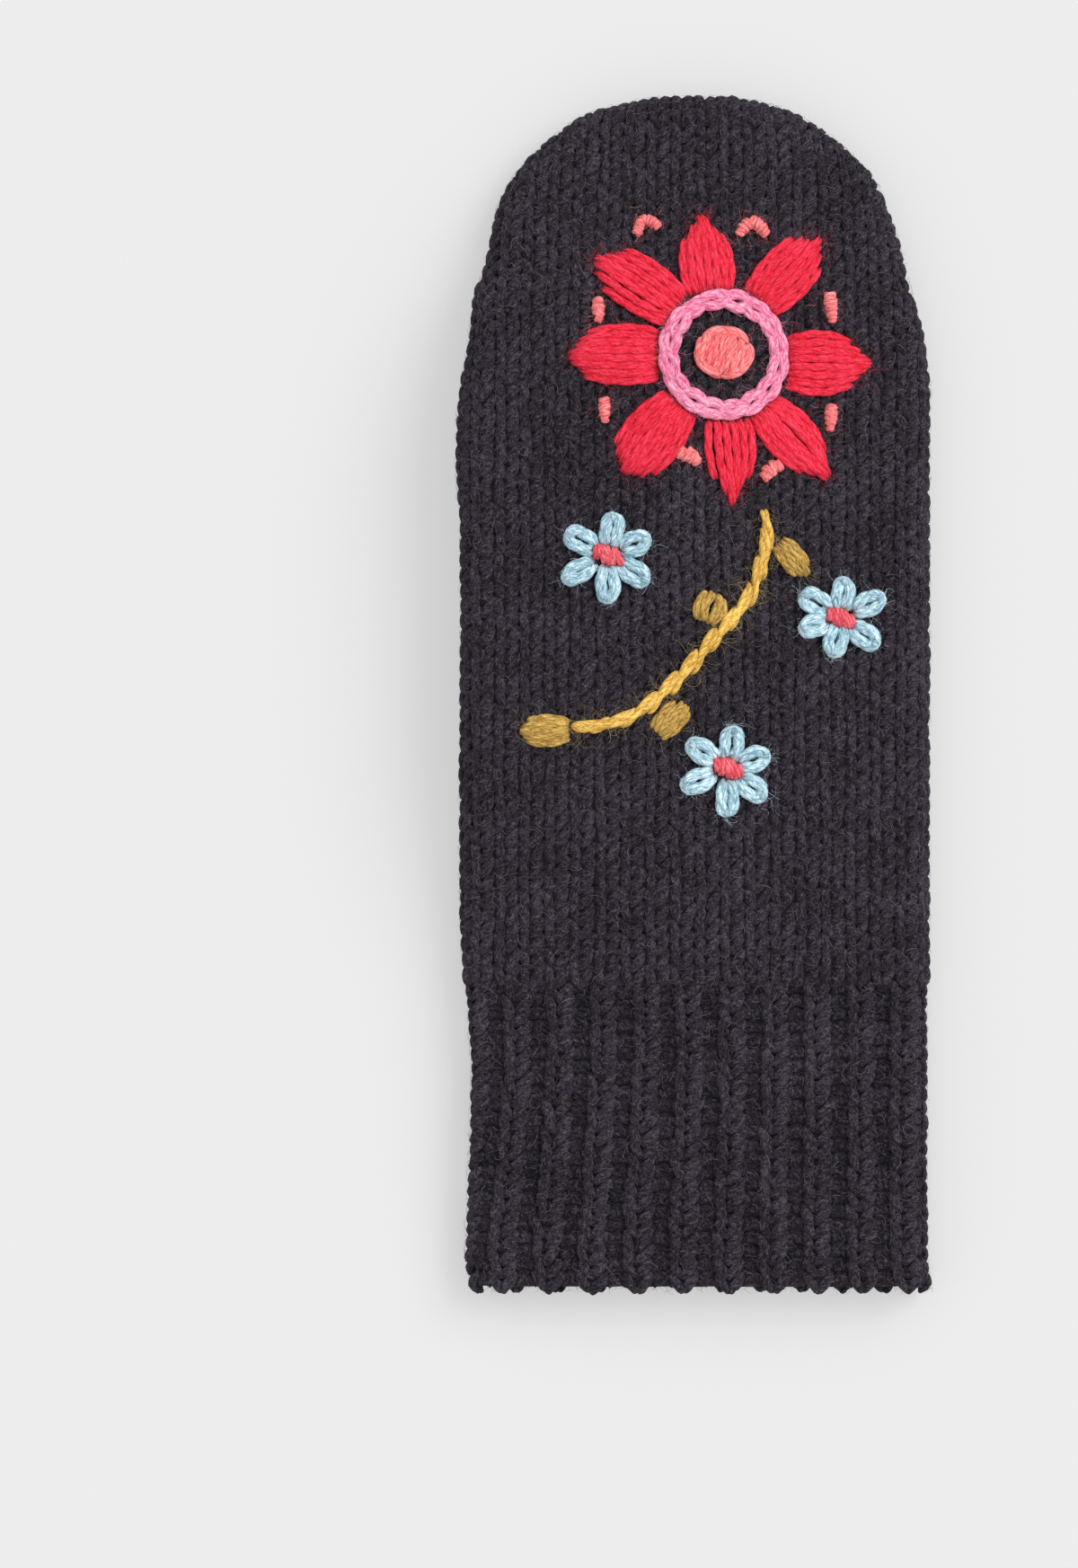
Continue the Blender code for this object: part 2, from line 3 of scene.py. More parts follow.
import bpy
import numpy as np
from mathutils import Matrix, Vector


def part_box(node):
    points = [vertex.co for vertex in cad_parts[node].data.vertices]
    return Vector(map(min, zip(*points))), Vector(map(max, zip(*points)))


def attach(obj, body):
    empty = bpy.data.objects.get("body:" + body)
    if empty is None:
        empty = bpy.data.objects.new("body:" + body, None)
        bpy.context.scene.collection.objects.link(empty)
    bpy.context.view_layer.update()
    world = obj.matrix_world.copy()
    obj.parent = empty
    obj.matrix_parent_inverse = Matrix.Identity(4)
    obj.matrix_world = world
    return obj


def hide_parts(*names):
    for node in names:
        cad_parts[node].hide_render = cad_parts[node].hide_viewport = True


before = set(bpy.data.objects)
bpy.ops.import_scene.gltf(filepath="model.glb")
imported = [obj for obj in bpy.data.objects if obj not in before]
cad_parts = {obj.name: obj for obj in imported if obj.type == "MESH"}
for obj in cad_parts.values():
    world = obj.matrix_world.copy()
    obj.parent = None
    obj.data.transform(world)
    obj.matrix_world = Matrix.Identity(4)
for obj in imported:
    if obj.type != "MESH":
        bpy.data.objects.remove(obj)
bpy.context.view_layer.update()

# The mitten's sizes in metres, as the solids have them
PALM_LOW, PALM_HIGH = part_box("palm")
CUFF_LOW, CUFF_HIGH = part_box("ribbed_cuff")
THUMB_LOW, THUMB_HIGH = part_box("thumb")
MOUTH_Y = CUFF_LOW[1]
HAND_START_Y = PALM_LOW[1]
TOP_Y = PALM_HIGH[1]
CROTCH_Y = THUMB_LOW[1]
THUMB_TIP_Y = THUMB_HIGH[1]
THUMB_RIGHT_X = THUMB_HIGH[0]
CUFF_HEIGHT = CUFF_HIGH[2]
THUMB_HEIGHT = THUMB_HIGH[2]
WIDTH = 0.1048
HAND_HEIGHT = 0.0112
WALL = 0.0025
TIP_LENGTH = 0.066
THUMB_LIFT = 0.0101
FADE_INSET = 0.0010
PALM_FADE = 0.020
BACK_FADE = 0.045
PALM_TIP_FADE = 0.024
BACK_TIP_FADE = 0.040
RIB_COUNT = 22
RIB_DEPTH = 0.0009
CUFF_WALL = 0.0024
RIB_LEAN = 0.45
RING_BAND = 0.0046
FLOWER_REACH = 0.0340
PETAL_WIDTH = 0.0120

# The palm's step at the crotch: how far below it starts, and its run beside the thumb and to its right
CROTCH_LEAD = 0.0003
CROTCH_RUN = 0.0004
CROTCH_SLOPE = 0.012

# The knitting: rows of the plain part and of the rib, half the yarn's width, columns across the hand and the
# thumb, how far they lean together at the tip, and where the hand's knitting is split into two pieces
COURSE = 0.0034
RIB_COURSE = 0.0029
YARN = 0.00102
HAND_COLUMNS = 20
THUMB_COLUMNS = 9
TIP_LEAN = 0.07
SPLIT_Y = 0.034

# How far stitches reach past the middle of the edge from above, and stop short of it from below
EDGE_REACH = 0.0008

# A step over which slopes are measured, and how far the outlines run on past an open end
STEP = 0.0004
OPEN_RUN = 0.02

# The embroidery's yarns: half their width, and the length of one twist
PETAL_YARN, LONG_TWIST = 0.00098, 0.0140
CHAIN_YARN, CENTRE_YARN, CENTRE_TWIST = 0.00126, 0.00112, 0.018
ACCENT_YARN, KNOT_YARN, SHORT_TWIST = 0.00092, 0.00088, 0.008
LOOP_YARN, TACK_YARN, LEAF_YARN, LOOP_TWIST = 0.00140, 0.00072, 0.00104, 0.011
STEM_YARN = 0.00122

# Loose fibres of the knitting: length, curl, rise and steps of a path. Then their width, and that of the
# embroidery's, how few are light, and about the width of a rib
KNIT_HAIR = (0.0024, 1.7, 0.0005, 4)
KNIT_HAIR_WIDTH = 0.00007
FINE_HAIR_WIDTH = 0.00004
HAIR_DARKNESS = 4
RIB_WIDTH = 0.0098

# Wool: turns of the fibres in a millimetre, streaks round a strand, how unlike two strands are, and repeats
# per metre of the flecks, the dye's patches and the curling lines
TWIST = 0.10
STREAKS = 12.0
UNLIKE = 37.0
FLECKS, PATCHES, CURLS = 1600.0, 70.0, 700.0

# Light: where the sun shines from, its strength and spread in degrees, the room's light and the floor's glow
SUN_FROM = (1.1, 0.75, 1.15)
SUN_STRENGTH, SUN_SPREAD = 1.82, 40.0
ROOM_LIGHT = 0.95
FLOOR_GLOW = 0.45
FLOOR_HALF = 6.0
FLOOR_GAP = 0.0004

# The photograph's frame, 0.2 mm to a pixel, with the mitten's middle at this pixel
PIXEL = 0.0002
FRAME_WIDTH, FRAME_HEIGHT = 1200, 1745
MIDDLE_PX = (773.5, 771.0)
CAMERA_HEIGHT = 2.5

# Outlines seen from above: share of the stretch, then left and right edge as shares of half the width
BODY_OUTLINE = (
    (0.00, 0.985, 0.994),
    (0.12, 0.998, 0.994),
    (0.78, 0.998, 0.994),
    (0.86, 1.014, 0.994),
    (0.94, 1.014, 0.996),
)
TIP_OUTLINE = (
    (0.00, 1.000, 0.998),
    (0.20, 0.955, 0.966),
    (0.33, 0.937, 0.925),
    (0.49, 0.876, 0.872),
    (0.62, 0.842, 0.819),
    (0.73, 0.773, 0.757),
    (0.80, 0.697, 0.674),
    (0.87, 0.601, 0.578),
    (0.93, 0.490, 0.455),
    (0.97, 0.350, 0.340),
    (1.00, 0.150, 0.140),
)
CUFF_OUTLINE = (
    (0.00, 0.960, 1.015),
    (0.10, 0.977, 0.996),
    (0.45, 0.962, 0.994),
    (0.75, 0.955, 0.994),
    (1.00, 0.983, 0.994),
)
THUMB_OUTLINE = (
    (0.00, 1.00),
    (0.60, 1.00),
    (0.76, 0.95),
    (0.87, 0.80),
    (0.95, 0.58),
    (1.00, 0.26),
)

random = np.random.default_rng(11)

# Where the embroidery's strands lie, for each material slot
strand_places = {}


def ease(value, start, end):
    """0 at start, 1 at end, smooth between them."""
    share = np.clip((value - start) / (end - start), 0.0, 1.0)
    return share * share * (3.0 - 2.0 * share)


def thumb_fade(x, y, across_run, along_run):
    """Height that the folded thumb adds, fading out to its right and past its tip."""
    start_x = THUMB_RIGHT_X + FADE_INSET
    start_y = THUMB_TIP_Y + FADE_INSET
    across = 1.0 - ease(x, start_x, start_x + across_run)
    along = 1.0 - ease(y, start_y, start_y + along_run)
    return THUMB_LIFT * across * along


def over_thumb(x, y):
    """Height of the palm where it passes over the thumb."""
    return thumb_fade(x, y, PALM_FADE, PALM_TIP_FADE)


def palm_lift(x, y):
    """Height of the palm: a step at the crotch beside the thumb, which runs out into a slope to its right."""
    run = np.where(x < THUMB_RIGHT_X, CROTCH_RUN, CROTCH_SLOPE)
    start = CROTCH_Y - CROTCH_LEAD
    return over_thumb(x, y) * ease(y, start, start + run)


def smooth_curve(points, steps):
    """A curve through unevenly spaced points that never overshoots: a centripetal Catmull-Rom."""
    points = np.asarray(points, float)
    padded = np.vstack([2 * points[0] - points[1], points, 2 * points[-1] - points[-2]])
    rows = []
    for n in range(len(points) - 1):
        a, b, c, d = padded[n : n + 4]
        knots = [0.0]
        for first, second in ((a, b), (b, c), (c, d)):
            knots.append(knots[-1] + math.sqrt(np.linalg.norm(second - first)))
        ka, kb, kc, kd = knots
        for t in kb + (kc - kb) * np.arange(steps) / steps:
            ab = ((kb - t) * a + (t - ka) * b) / (kb - ka)
            bc = ((kc - t) * b + (t - kb) * c) / (kc - kb)
            cd = ((kd - t) * c + (t - kc) * d) / (kd - kc)
            early = ((kc - t) * ab + (t - ka) * bc) / (kc - ka)
            late = ((kd - t) * bc + (t - kb) * cd) / (kd - kb)
            rows.append(((kc - t) * early + (t - kb) * late) / (kc - kb))
    rows.append(points[-1])
    return np.array(rows)


class Face:
    """An outer face that strands lie on. Its surface() gives the points for places on it.

    Step is a small step across in the face's own unit, and turn is -1 where its places run the other way.
    """

    def place(self, spots, height, top=True):
        """Points at a height over the face, and the outward directions there."""
        spots = np.asarray(spots, float)
        shape = spots.shape[:-1]
        flat = spots.reshape(-1, 2)
        here = self.surface(flat, top)
        slopes = []
        for step in ((self.step, 0.0), (0.0, STEP)):
            slopes.append(self.surface(flat + step, top) - self.surface(flat - step, top))
        normal = np.cross(*slopes) * (self.turn if top else -self.turn)
        length = np.linalg.norm(normal, axis=1)[:, None]
        normal = normal / np.maximum(length, 1e-12)
        points = here + normal * np.broadcast_to(height, shape).reshape(-1, 1)
        return points.reshape(*shape, 3), normal.reshape(*shape, 3)


class Pouch(Face):
    """A flat knitted pouch: two sheets that meet along an outline, with a rounded edge of one radius.

    Places on it are given on the sheets laid flat, where the rounded edge is unrolled outwards.
    """

    step = STEP
    turn = 1.0

    def __init__(self, outline, radius, top_at, bottom_at, middle_at):
        self.outline = outline
        self.radius = radius
        self.top_at = top_at
        self.bottom_at = bottom_at
        self.middle_at = middle_at
        self.unrolled = (math.pi / 2 - 1) * radius
        run = np.diff(outline, axis=0)
        self.run = run
        self.run_length = np.linalg.norm(run, axis=1)
        normal = np.stack([-run[:, 1], run[:, 0]], axis=1) / self.run_length[:, None]
        corner = np.vstack([normal[:1], normal[:-1] + normal[1:], normal[-1:]])
        self.corner = corner / np.linalg.norm(corner, axis=1)[:, None]

    def inside(self, spots):
        """Distance in from the outline, and the outward direction there."""
        distance = np.empty(len(spots))
        outward = np.empty((len(spots), 2))
        for low in range(0, len(spots), 4000):
            part = spots[low : low + 4000]
            offset = part[:, None, :] - self.outline[None, :-1, :]
            share = (offset * self.run).sum(2) / (self.run_length**2)
            share = np.clip(share, 0.0, 1.0)
            gap = offset - share[:, :, None] * self.run
            best = np.argmin((gap**2).sum(2), axis=1)
            rows = np.arange(len(part))
            t = share[rows, best][:, None]
            normal = self.corner[best] * (1 - t) + self.corner[best + 1] * t
            normal /= np.linalg.norm(normal, axis=1)[:, None]
            distance[low : low + 4000] = -(gap[rows, best] * normal).sum(1)
            outward[low : low + 4000] = normal
        return distance, outward

    def surface(self, spots, top):
        """Points of the outer face for places on the flat sheet. Past the edge they are on the other face."""
        distance, outward = self.inside(spots)
        turn = np.clip((distance + self.unrolled) / self.radius, -math.pi / 2, math.pi / 2)
        flat = turn >= math.pi / 2
        inner = np.where(flat, distance, self.radius * (1 - np.cos(turn)))
        plan = spots + outward * (distance - inner)[:, None]
        x, y = plan[:, 0], plan[:, 1]
        middle = self.middle_at(x, y)
        high, low = self.top_at(x, y), self.bottom_at(x, y)
        far = np.where((turn > 0) == top, high, low)
        return np.stack([x, y, middle + (far - middle) * np.abs(np.sin(turn))], axis=1)

    def edge_margin(self, spots):
        """Distance in from the unrolled edge."""
        distance, _ = self.inside(np.asarray(spots, float).reshape(-1, 2))
        return (distance + self.unrolled).reshape(np.asarray(spots).shape[:-1])


def outline_of(rows, half, middle):
    """The outline through rows of Y, left and right edge: up the left side and down the right one."""
    left_side = [(middle - half * left, y) for y, left, _ in rows]
    right_side = [(middle + half * right, y) for y, _, right in rows]
    return smooth_curve(left_side + right_side[::-1], 5)


def hand_pouch():
    start = HAND_START_Y
    body_end = TOP_Y - TIP_LENGTH
    rows = [(start - OPEN_RUN, *BODY_OUTLINE[0][1:])]
    rows += [(start + share * (body_end - start), left, right) for share, left, right in BODY_OUTLINE]
    rows += [(body_end + share * TIP_LENGTH, left, right) for share, left, right in TIP_OUTLINE]
    outline = outline_of(rows, WIDTH / 2, 0.0)
    return Pouch(outline, HAND_HEIGHT / 2, hand_top, palm_lift, hand_middle)


def hand_top(x, y):
    """Height of the back of the hand, lifted by the folded thumb."""
    return HAND_HEIGHT + thumb_fade(x, y, BACK_FADE, BACK_TIP_FADE) * ease(y, HAND_START_Y, CROTCH_Y)


def hand_middle(x, y):
    """Height of the line where the back meets the palm."""
    low = over_thumb(x, y) * ease(y, CROTCH_Y - 0.018, CROTCH_Y)
    return (low + hand_top(x, y)) / 2


def thumb_pouch():
    half = (THUMB_HIGH[0] - THUMB_LOW[0]) / 2
    middle = (THUMB_HIGH[0] + THUMB_LOW[0]) / 2
    reach = THUMB_TIP_Y - CROTCH_Y
    rows = [(CROTCH_Y - OPEN_RUN, 1.0, 1.0)]
    rows += [(CROTCH_Y + share * reach, width, width) for share, width in THUMB_OUTLINE]

    def level(height):
        return lambda x, y: np.full_like(x, height)

    heights = (level(THUMB_HEIGHT), level(0.0), level(THUMB_HEIGHT / 2))
    return Pouch(outline_of(rows, half, middle), THUMB_HEIGHT / 2, *heights)


class Rib(Face):
    """The cuff's corrugated tube. Places on it are ribs round it, from 0 to RIB_COUNT, and Y."""

    step = 0.04
    turn = -1.0

    def surface(self, spots, top):
        ribs, y = spots[:, 0], spots[:, 1]
        share = np.clip((y - MOUTH_Y) / (HAND_START_Y - MOUTH_Y), 0.0, 1.0)
        table = np.array(CUFF_OUTLINE)
        edge = (RIB_DEPTH + CUFF_WALL) / 2
        left = -np.interp(share, table[:, 0], table[:, 1]) * WIDTH / 2 + edge
        right = np.interp(share, table[:, 0], table[:, 2]) * WIDTH / 2 - edge
        radius = CUFF_HEIGHT / 2 - edge
        middle = CUFF_HEIGHT / 2
        straight = right - left - 2 * radius
        bend = math.pi * radius
        lean = RIB_LEAN * (1.0 - share) * (0.5 - 0.5 * np.cos(2 * math.pi * ribs / RIB_COUNT))
        way = ((ribs + lean) / RIB_COUNT % 1.0) * 2 * (straight + bend)
        left_angle = math.pi / 2 + (way - straight) / radius
        right_angle = -math.pi / 2 + (way - 2 * straight - bend) / radius
        on_top = way < straight
        on_left = (way >= straight) & (way < straight + bend)
        on_bottom = (way >= straight + bend) & (way < 2 * straight + bend)
        out_x = np.where(on_top | on_bottom, 0.0, np.where(on_left, np.cos(left_angle), np.cos(right_angle)))
        out_z = np.where(on_top, 1.0, np.where(on_bottom, -1.0, 0.0))
        out_z = np.where(on_left, np.sin(left_angle), out_z)
        out_z = np.where(~(on_top | on_left | on_bottom), np.sin(right_angle), out_z)
        x = np.where(on_top, right - radius - way, left + radius + out_x * radius)
        x = np.where(on_bottom, left + radius + (way - straight - bend), x)
        x = np.where(~(on_top | on_left | on_bottom), right - radius + out_x * radius, x)
        z = middle + out_z * radius
        wave = RIB_DEPTH / 2 * np.cos(2 * math.pi * ribs) + CUFF_WALL / 2
        return np.stack([x + out_x * wave, y, z + out_z * wave], axis=1)


def strand_mesh(name, points, corners, sizes, tones):
    """A smooth mesh of strands from their points, the corners of the faces and how many each face has.

    Each strand has a tone of its own, at random where none is given.
    """
    count, steps, sides, _ = points.shape
    mesh = bpy.data.meshes.new(name)
    mesh.vertices.add(points.size // 3)
    mesh.vertices.foreach_set("co", points.astype(np.float32).reshape(-1))
    mesh.loops.add(len(corners))
    mesh.loops.foreach_set("vertex_index", corners.astype(np.int32))
    mesh.polygons.add(len(sizes))
    mesh.polygons.foreach_set("loop_start", (np.cumsum(sizes) - sizes).astype(np.int32))
    mesh.polygons.foreach_set("loop_total", sizes.astype(np.int32))
    mesh.update(calc_edges=True)
    tones = random.random(count) if tones is None else tones
    tone = mesh.attributes.new("tone", "FLOAT", "POINT")
    tone.data.foreach_set("value", np.repeat(tones, steps * sides).astype(np.float32))
    mesh.shade_smooth()
    return mesh


def tubes(name, paths, normals, widths, heights, sides, material, tones=None):
    """One mesh of many strands: each follows its path, flattened along its normal, with closed ends."""
    count, steps, _ = paths.shape
    ahead = np.empty_like(paths)
    ahead[:, 1:-1] = paths[:, 2:] - paths[:, :-2]
    ahead[:, 0] = paths[:, 1] - paths[:, 0]
    ahead[:, -1] = paths[:, -1] - paths[:, -2]
    ahead /= np.maximum(np.linalg.norm(ahead, axis=2, keepdims=True), 1e-12)
    side = np.cross(ahead, normals)
    side /= np.maximum(np.linalg.norm(side, axis=2, keepdims=True), 1e-12)
    up = np.cross(side, ahead)
    angle = np.arange(sides) * 2 * math.pi / sides
    widths = np.broadcast_to(widths, (count, steps))
    heights = np.broadcast_to(heights, (count, steps))
    points = (
        paths[:, :, None, :]
        + side[:, :, None, :] * (widths[:, :, None] * np.cos(angle))[..., None]
        + up[:, :, None, :] * (heights[:, :, None] * np.sin(angle))[..., None]
    )
    index = np.arange(count * steps * sides).reshape(count, steps, sides)
    after = np.roll(index, -1, axis=2)
    quads = np.stack([index[:, :-1], after[:, :-1], after[:, 1:], index[:, 1:]], axis=-1).reshape(-1, 4)
    ends = np.concatenate([index[:, 0, ::-1], index[:, -1]])
    length = np.zeros((count, steps))
    length[:, 1:] = np.cumsum(np.linalg.norm(np.diff(paths, axis=1), axis=2), axis=1)
    along = np.broadcast_to(length[:, :, None], (count, steps, sides))
    around = np.broadcast_to(np.arange(sides) / sides, (count, steps, sides))
    u_quads = np.stack([along[:, :-1], along[:, :-1], along[:, 1:], along[:, 1:]], axis=-1).reshape(-1)
    v_low = around[:, :-1]
    v_quads = np.stack([v_low, v_low + 1 / sides, v_low + 1 / sides, v_low], axis=-1).reshape(-1)
    corners = np.concatenate([quads.reshape(-1), ends.reshape(-1)])
    sizes = np.concatenate([np.full(len(quads), 4), np.full(len(ends), sides)])
    mesh = strand_mesh(name, points, corners, sizes, tones)
    mesh.validate()
    uv = mesh.uv_layers.new(name="strand")
    flat = np.zeros((len(corners), 2), np.float32)
    flat[: len(u_quads), 0] = u_quads * 1000.0
    flat[: len(u_quads), 1] = v_quads
    uv.data.foreach_set("uv", flat.reshape(-1))
    return add_piece(name, mesh, material)


def add_piece(name, mesh, material):
    mesh.materials.append(material)
    piece = bpy.data.objects.new(name, mesh)
    bpy.context.scene.collection.objects.link(piece)
    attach(piece, "root")
    return piece


def grid_piece(name, points, material, closed_round=False):
    """A sheet of quads over rows of points."""
    rows, columns, _ = points.shape
    index = np.arange(rows * columns).reshape(rows, columns)
    if closed_round:
        index = np.concatenate([index, index[:, :1]], axis=1)
    quads = np.stack([index[:-1, :-1], index[:-1, 1:], index[1:, 1:], index[1:, :-1]], axis=-1).reshape(-1, 4)
    mesh = bpy.data.meshes.new(name)
    mesh.from_pydata(points.reshape(-1, 3).tolist(), [], quads.tolist())
    mesh.update()
    mesh.shade_smooth()
    return add_piece(name, mesh, material)


def new_material(name):
    material = bpy.data.materials.new(name)
    material.use_nodes = True
    tree = material.node_tree
    shader = tree.nodes["Principled BSDF"]
    return material, tree, shader


def link(tree, source, target):
    tree.links.new(source, target)


def math_node(tree, operation, first, second):
    node = tree.nodes.new("ShaderNodeMath")
    node.operation = operation
    for socket, value in zip(node.inputs, (first, second)):
        if isinstance(value, (int, float)):
            socket.default_value = value
        else:
            link(tree, value, socket)
    return node.outputs[0]


def set_inputs(node, values):
    for name, value in values.items():
        node.inputs[name].default_value = value


def add_noise(tree, vector, scale, detail, roughness=0.5, distortion=0.0):
    noise = tree.nodes.new("ShaderNodeTexNoise")
    set_inputs(noise, {"Scale": scale, "Detail": detail, "Roughness": roughness, "Distortion": distortion})
    link(tree, vector, noise.inputs["Vector"])
    return noise.outputs[0]


def add_bump(tree, shader, height, strength, relief):
    bump = tree.nodes.new("ShaderNodeBump")
    set_inputs(bump, {"Strength": strength, "Distance": relief})
    link(tree, height, bump.inputs["Height"])
    link(tree, bump.outputs[0], shader.inputs["Normal"])


def add_colours(tree, shader, factor, dark, light):
    """The base colour, between two by a factor. Returns the stops of its ramp."""
    ramp = tree.nodes.new("ShaderNodeValToRGB")
    stops = ramp.color_ramp.elements
    stops[0].color = (*dark, 1)
    stops[1].color = (*light, 1)
    link(tree, factor, ramp.inputs[0])
    link(tree, ramp.outputs[0], shader.inputs["Base Color"])
    return stops


def tone_of(tree):
    """The tone that each strand has of its own; on the rib's purl bumps it is below zero, as painted shade in
    the recesses.
    """
    tone = tree.nodes.new("ShaderNodeAttribute")
    tone.attribute_name = "tone"
    return tone.outputs["Fac"]


def place_of(tree):
    return tree.nodes.new("ShaderNodeTexCoord").outputs["Object"]


def curl_lines(tree, place):
    """Thin curling lines, like loose fibres lying over the yarn: 1 on a line and 0 beside it."""
    field = add_noise(tree, place, CURLS, 1.0, 0.5, 1.0)
    away = math_node(tree, "ABSOLUTE", math_node(tree, "SUBTRACT", field, 0.5), 0.0)
    line = math_node(tree, "SUBTRACT", 1.0, math_node(tree, "MULTIPLY", away, 28.0))
    return math_node(tree, "MAXIMUM", line, 0.0)


def wool(name, dark, light, sheen_tint, contrast=1.0, relief=0.0004, middling=0.5, flecky=0.25, grain=0.5):
    """Spun wool: fibres that twist round the strand, flecks of loose fibre, uneven dye and a soft sheen; a
    strand's tone below zero darkens it, as painted shade on the rib's purl bumps.

    Flecky is the share of the flecks, and grain how often the fibres' streaks change along a millimetre.
    """
    material, tree, shader = new_material(name)
    strand = tree.nodes.new("ShaderNodeUVMap")
    strand.uv_map = "strand"
    parts = tree.nodes.new("ShaderNodeSeparateXYZ")
    link(tree, strand.outputs[0], parts.inputs[0])
    along, around, _ = parts.outputs
    tone = tone_of(tree)
    place = place_of(tree)
    turned = math_node(tree, "ADD", around, math_node(tree, "MULTIPLY", along, TWIST))
    fibres = tree.nodes.new("ShaderNodeCombineXYZ")
    for socket, source, often in zip(fibres.inputs, (turned, along, tone), (STREAKS, grain, UNLIKE)):
        link(tree, math_node(tree, "MULTIPLY", source, often), socket)
    streaks = add_noise(tree, fibres.outputs[0], 1.0, 1.0, 0.5, 0.8)
    flecks = add_noise(tree, place, FLECKS, 1.0, 0.6, 1.2)
    patches = add_noise(tree, place, PATCHES, 3.0, 0.6)
    mix = math_node(tree, "MULTIPLY", streaks, 1.0 - flecky)
    layers = ((flecks, flecky), (patches, 0.20), (tone, 0.04), (curl_lines(tree, place), 0.06))
    for layer, share in layers:
        mix = math_node(tree, "ADD", mix, math_node(tree, "MULTIPLY", layer, share))
    stops = add_colours(tree, shader, mix, dark, light)
    stops[0].position = 0.62 - 0.12 / contrast
    stops[1].position = 0.62 + 0.15 / contrast
    middle = stops.new(0.635)
    middle.color = (*[low + (high - low) * middling for low, high in zip(dark, light)], 1)
    height = math_node(tree, "ADD", streaks, math_node(tree, "MULTIPLY", flecks, 0.6))
    add_bump(tree, shader, height, 1.0, relief)
    set_inputs(shader, {"Roughness": 0.95, "Specular IOR Level": 0.15, "Sheen Weight": 0.05})
    set_inputs(shader, {"Sheen Roughness": 0.5, "Sheen Tint": (*sheen_tint, 1)})
    return material


def backing_wool(name, dark, light):
    """The felted depth between the stitches, seen only in the gaps and inside the cuff."""
    material, tree, shader = new_material(name)
    felt = add_noise(tree, place_of(tree), 900.0, 4.0)
    add_colours(tree, shader, felt, dark, light)
    add_bump(tree, shader, felt, 0.8, 0.0004)
    set_inputs(shader, {"Roughness": 1.0, "Specular IOR Level": 0.1})
    return material


# Each leg of a knit stitch: place across in wales and along in courses, depth in yarn widths,
# and how full the yarn is there
LEFT_LEG = (
    (-0.15, -0.62, -1.30, 0.70),
    (-0.20, -0.40, -0.40, 0.92),
    (-0.26, -0.12, 0.12, 1.00),
    (-0.31, 0.16, 0.26, 1.00),
    (-0.35, 0.44, 0.16, 0.98),
    (-0.37, 0.72, -0.25, 0.92),
    (-0.33, 0.98, -1.00, 0.80),
)
RIGHT_LEG = (
    (-0.10, -0.66, -1.30, 0.72),
    (-0.02, -0.42, -0.45, 0.98),
    (0.08, -0.16, 0.14, 1.08),
    (0.19, 0.12, 0.28, 1.10),
    (0.29, 0.40, 0.10, 1.04),
    (0.36, 0.68, -0.40, 0.93),
    (0.35, 0.94, -1.05, 0.80),
)


def drift(across, along, size):
    """A slow unevenness of hand knitting, as lengths of about this size."""
    a, b = across * 310.0, along * 260.0
    one = np.sin(a * 0.9 + 1.7 * np.sin(b * 0.45)) + 0.6 * np.sin(b * 1.15 + a * 0.35 + 2.0)
    two = np.sin(b * 0.8 + 1.3 * np.sin(a * 0.5 + 0.7)) + 0.6 * np.sin(a * 1.25 - b * 0.3 + 4.0)
    return one * size, two * size


def leg_strands(leg, centres, wale, course):
    """Paths on the flat sheet, heights over it and sizes of one leg of every stitch."""
    table = np.array(leg)
    count = len(centres)
    size = 1.0 + 0.06 * random.standard_normal((count, 1))
    lean = 0.035 * random.standard_normal((count, 1))
    across = table[None, :, 0] + lean * (table[None, :, 1] - 0.2)
    along = table[None, :, 1] + 0.05 * random.standard_normal((count, 1))
    shift = 0.03 * random.standard_normal((count, 1))
    spots = np.stack([centres[:, :1] + (across + shift) * wale, centres[:, 1:] + along * course], axis=2)
    bend_x, bend_y = drift(spots[..., 0], spots[..., 1], 0.00016)
    spots = spots + np.stack([bend_x, bend_y], axis=2)
    heights = (table[None, :, 2] + 0.08 * random.standard_normal((count, 1)) - 0.95) * YARN
    fullness = table[None, :, 3] * size * YARN
    return spots, heights, fullness


def plain_centres(low_x, high_x, low_y, high_y, wale):
    """Middles of the stitches over a flat stretch."""
    columns = int(round((high_x - low_x) / wale))
    rows = int(math.ceil((high_y - low_y) / COURSE))
    x = low_x + (np.arange(columns) + 0.5) * wale
    y = low_y + (np.arange(rows) + 0.5) * COURSE
    across, along = np.meshgrid(x, y)
    return np.stack([across.reshape(-1), along.reshape(-1)], axis=1)


def knit(name, surface, centres, wale, course, material, top, sides):
    """The two legs of every stitch as one piece."""
    pieces = []
    for leg in (LEFT_LEG, RIGHT_LEG):
        spots, heights, fullness = leg_strands(leg, centres, wale, course)
        pieces.append((*surface.place(spots, heights, top), fullness))
    points, normals, fullness = [np.concatenate(part) for part in zip(*pieces)]
    return tubes(name, points, normals, fullness * 1.10, fullness * 0.85, sides, material)


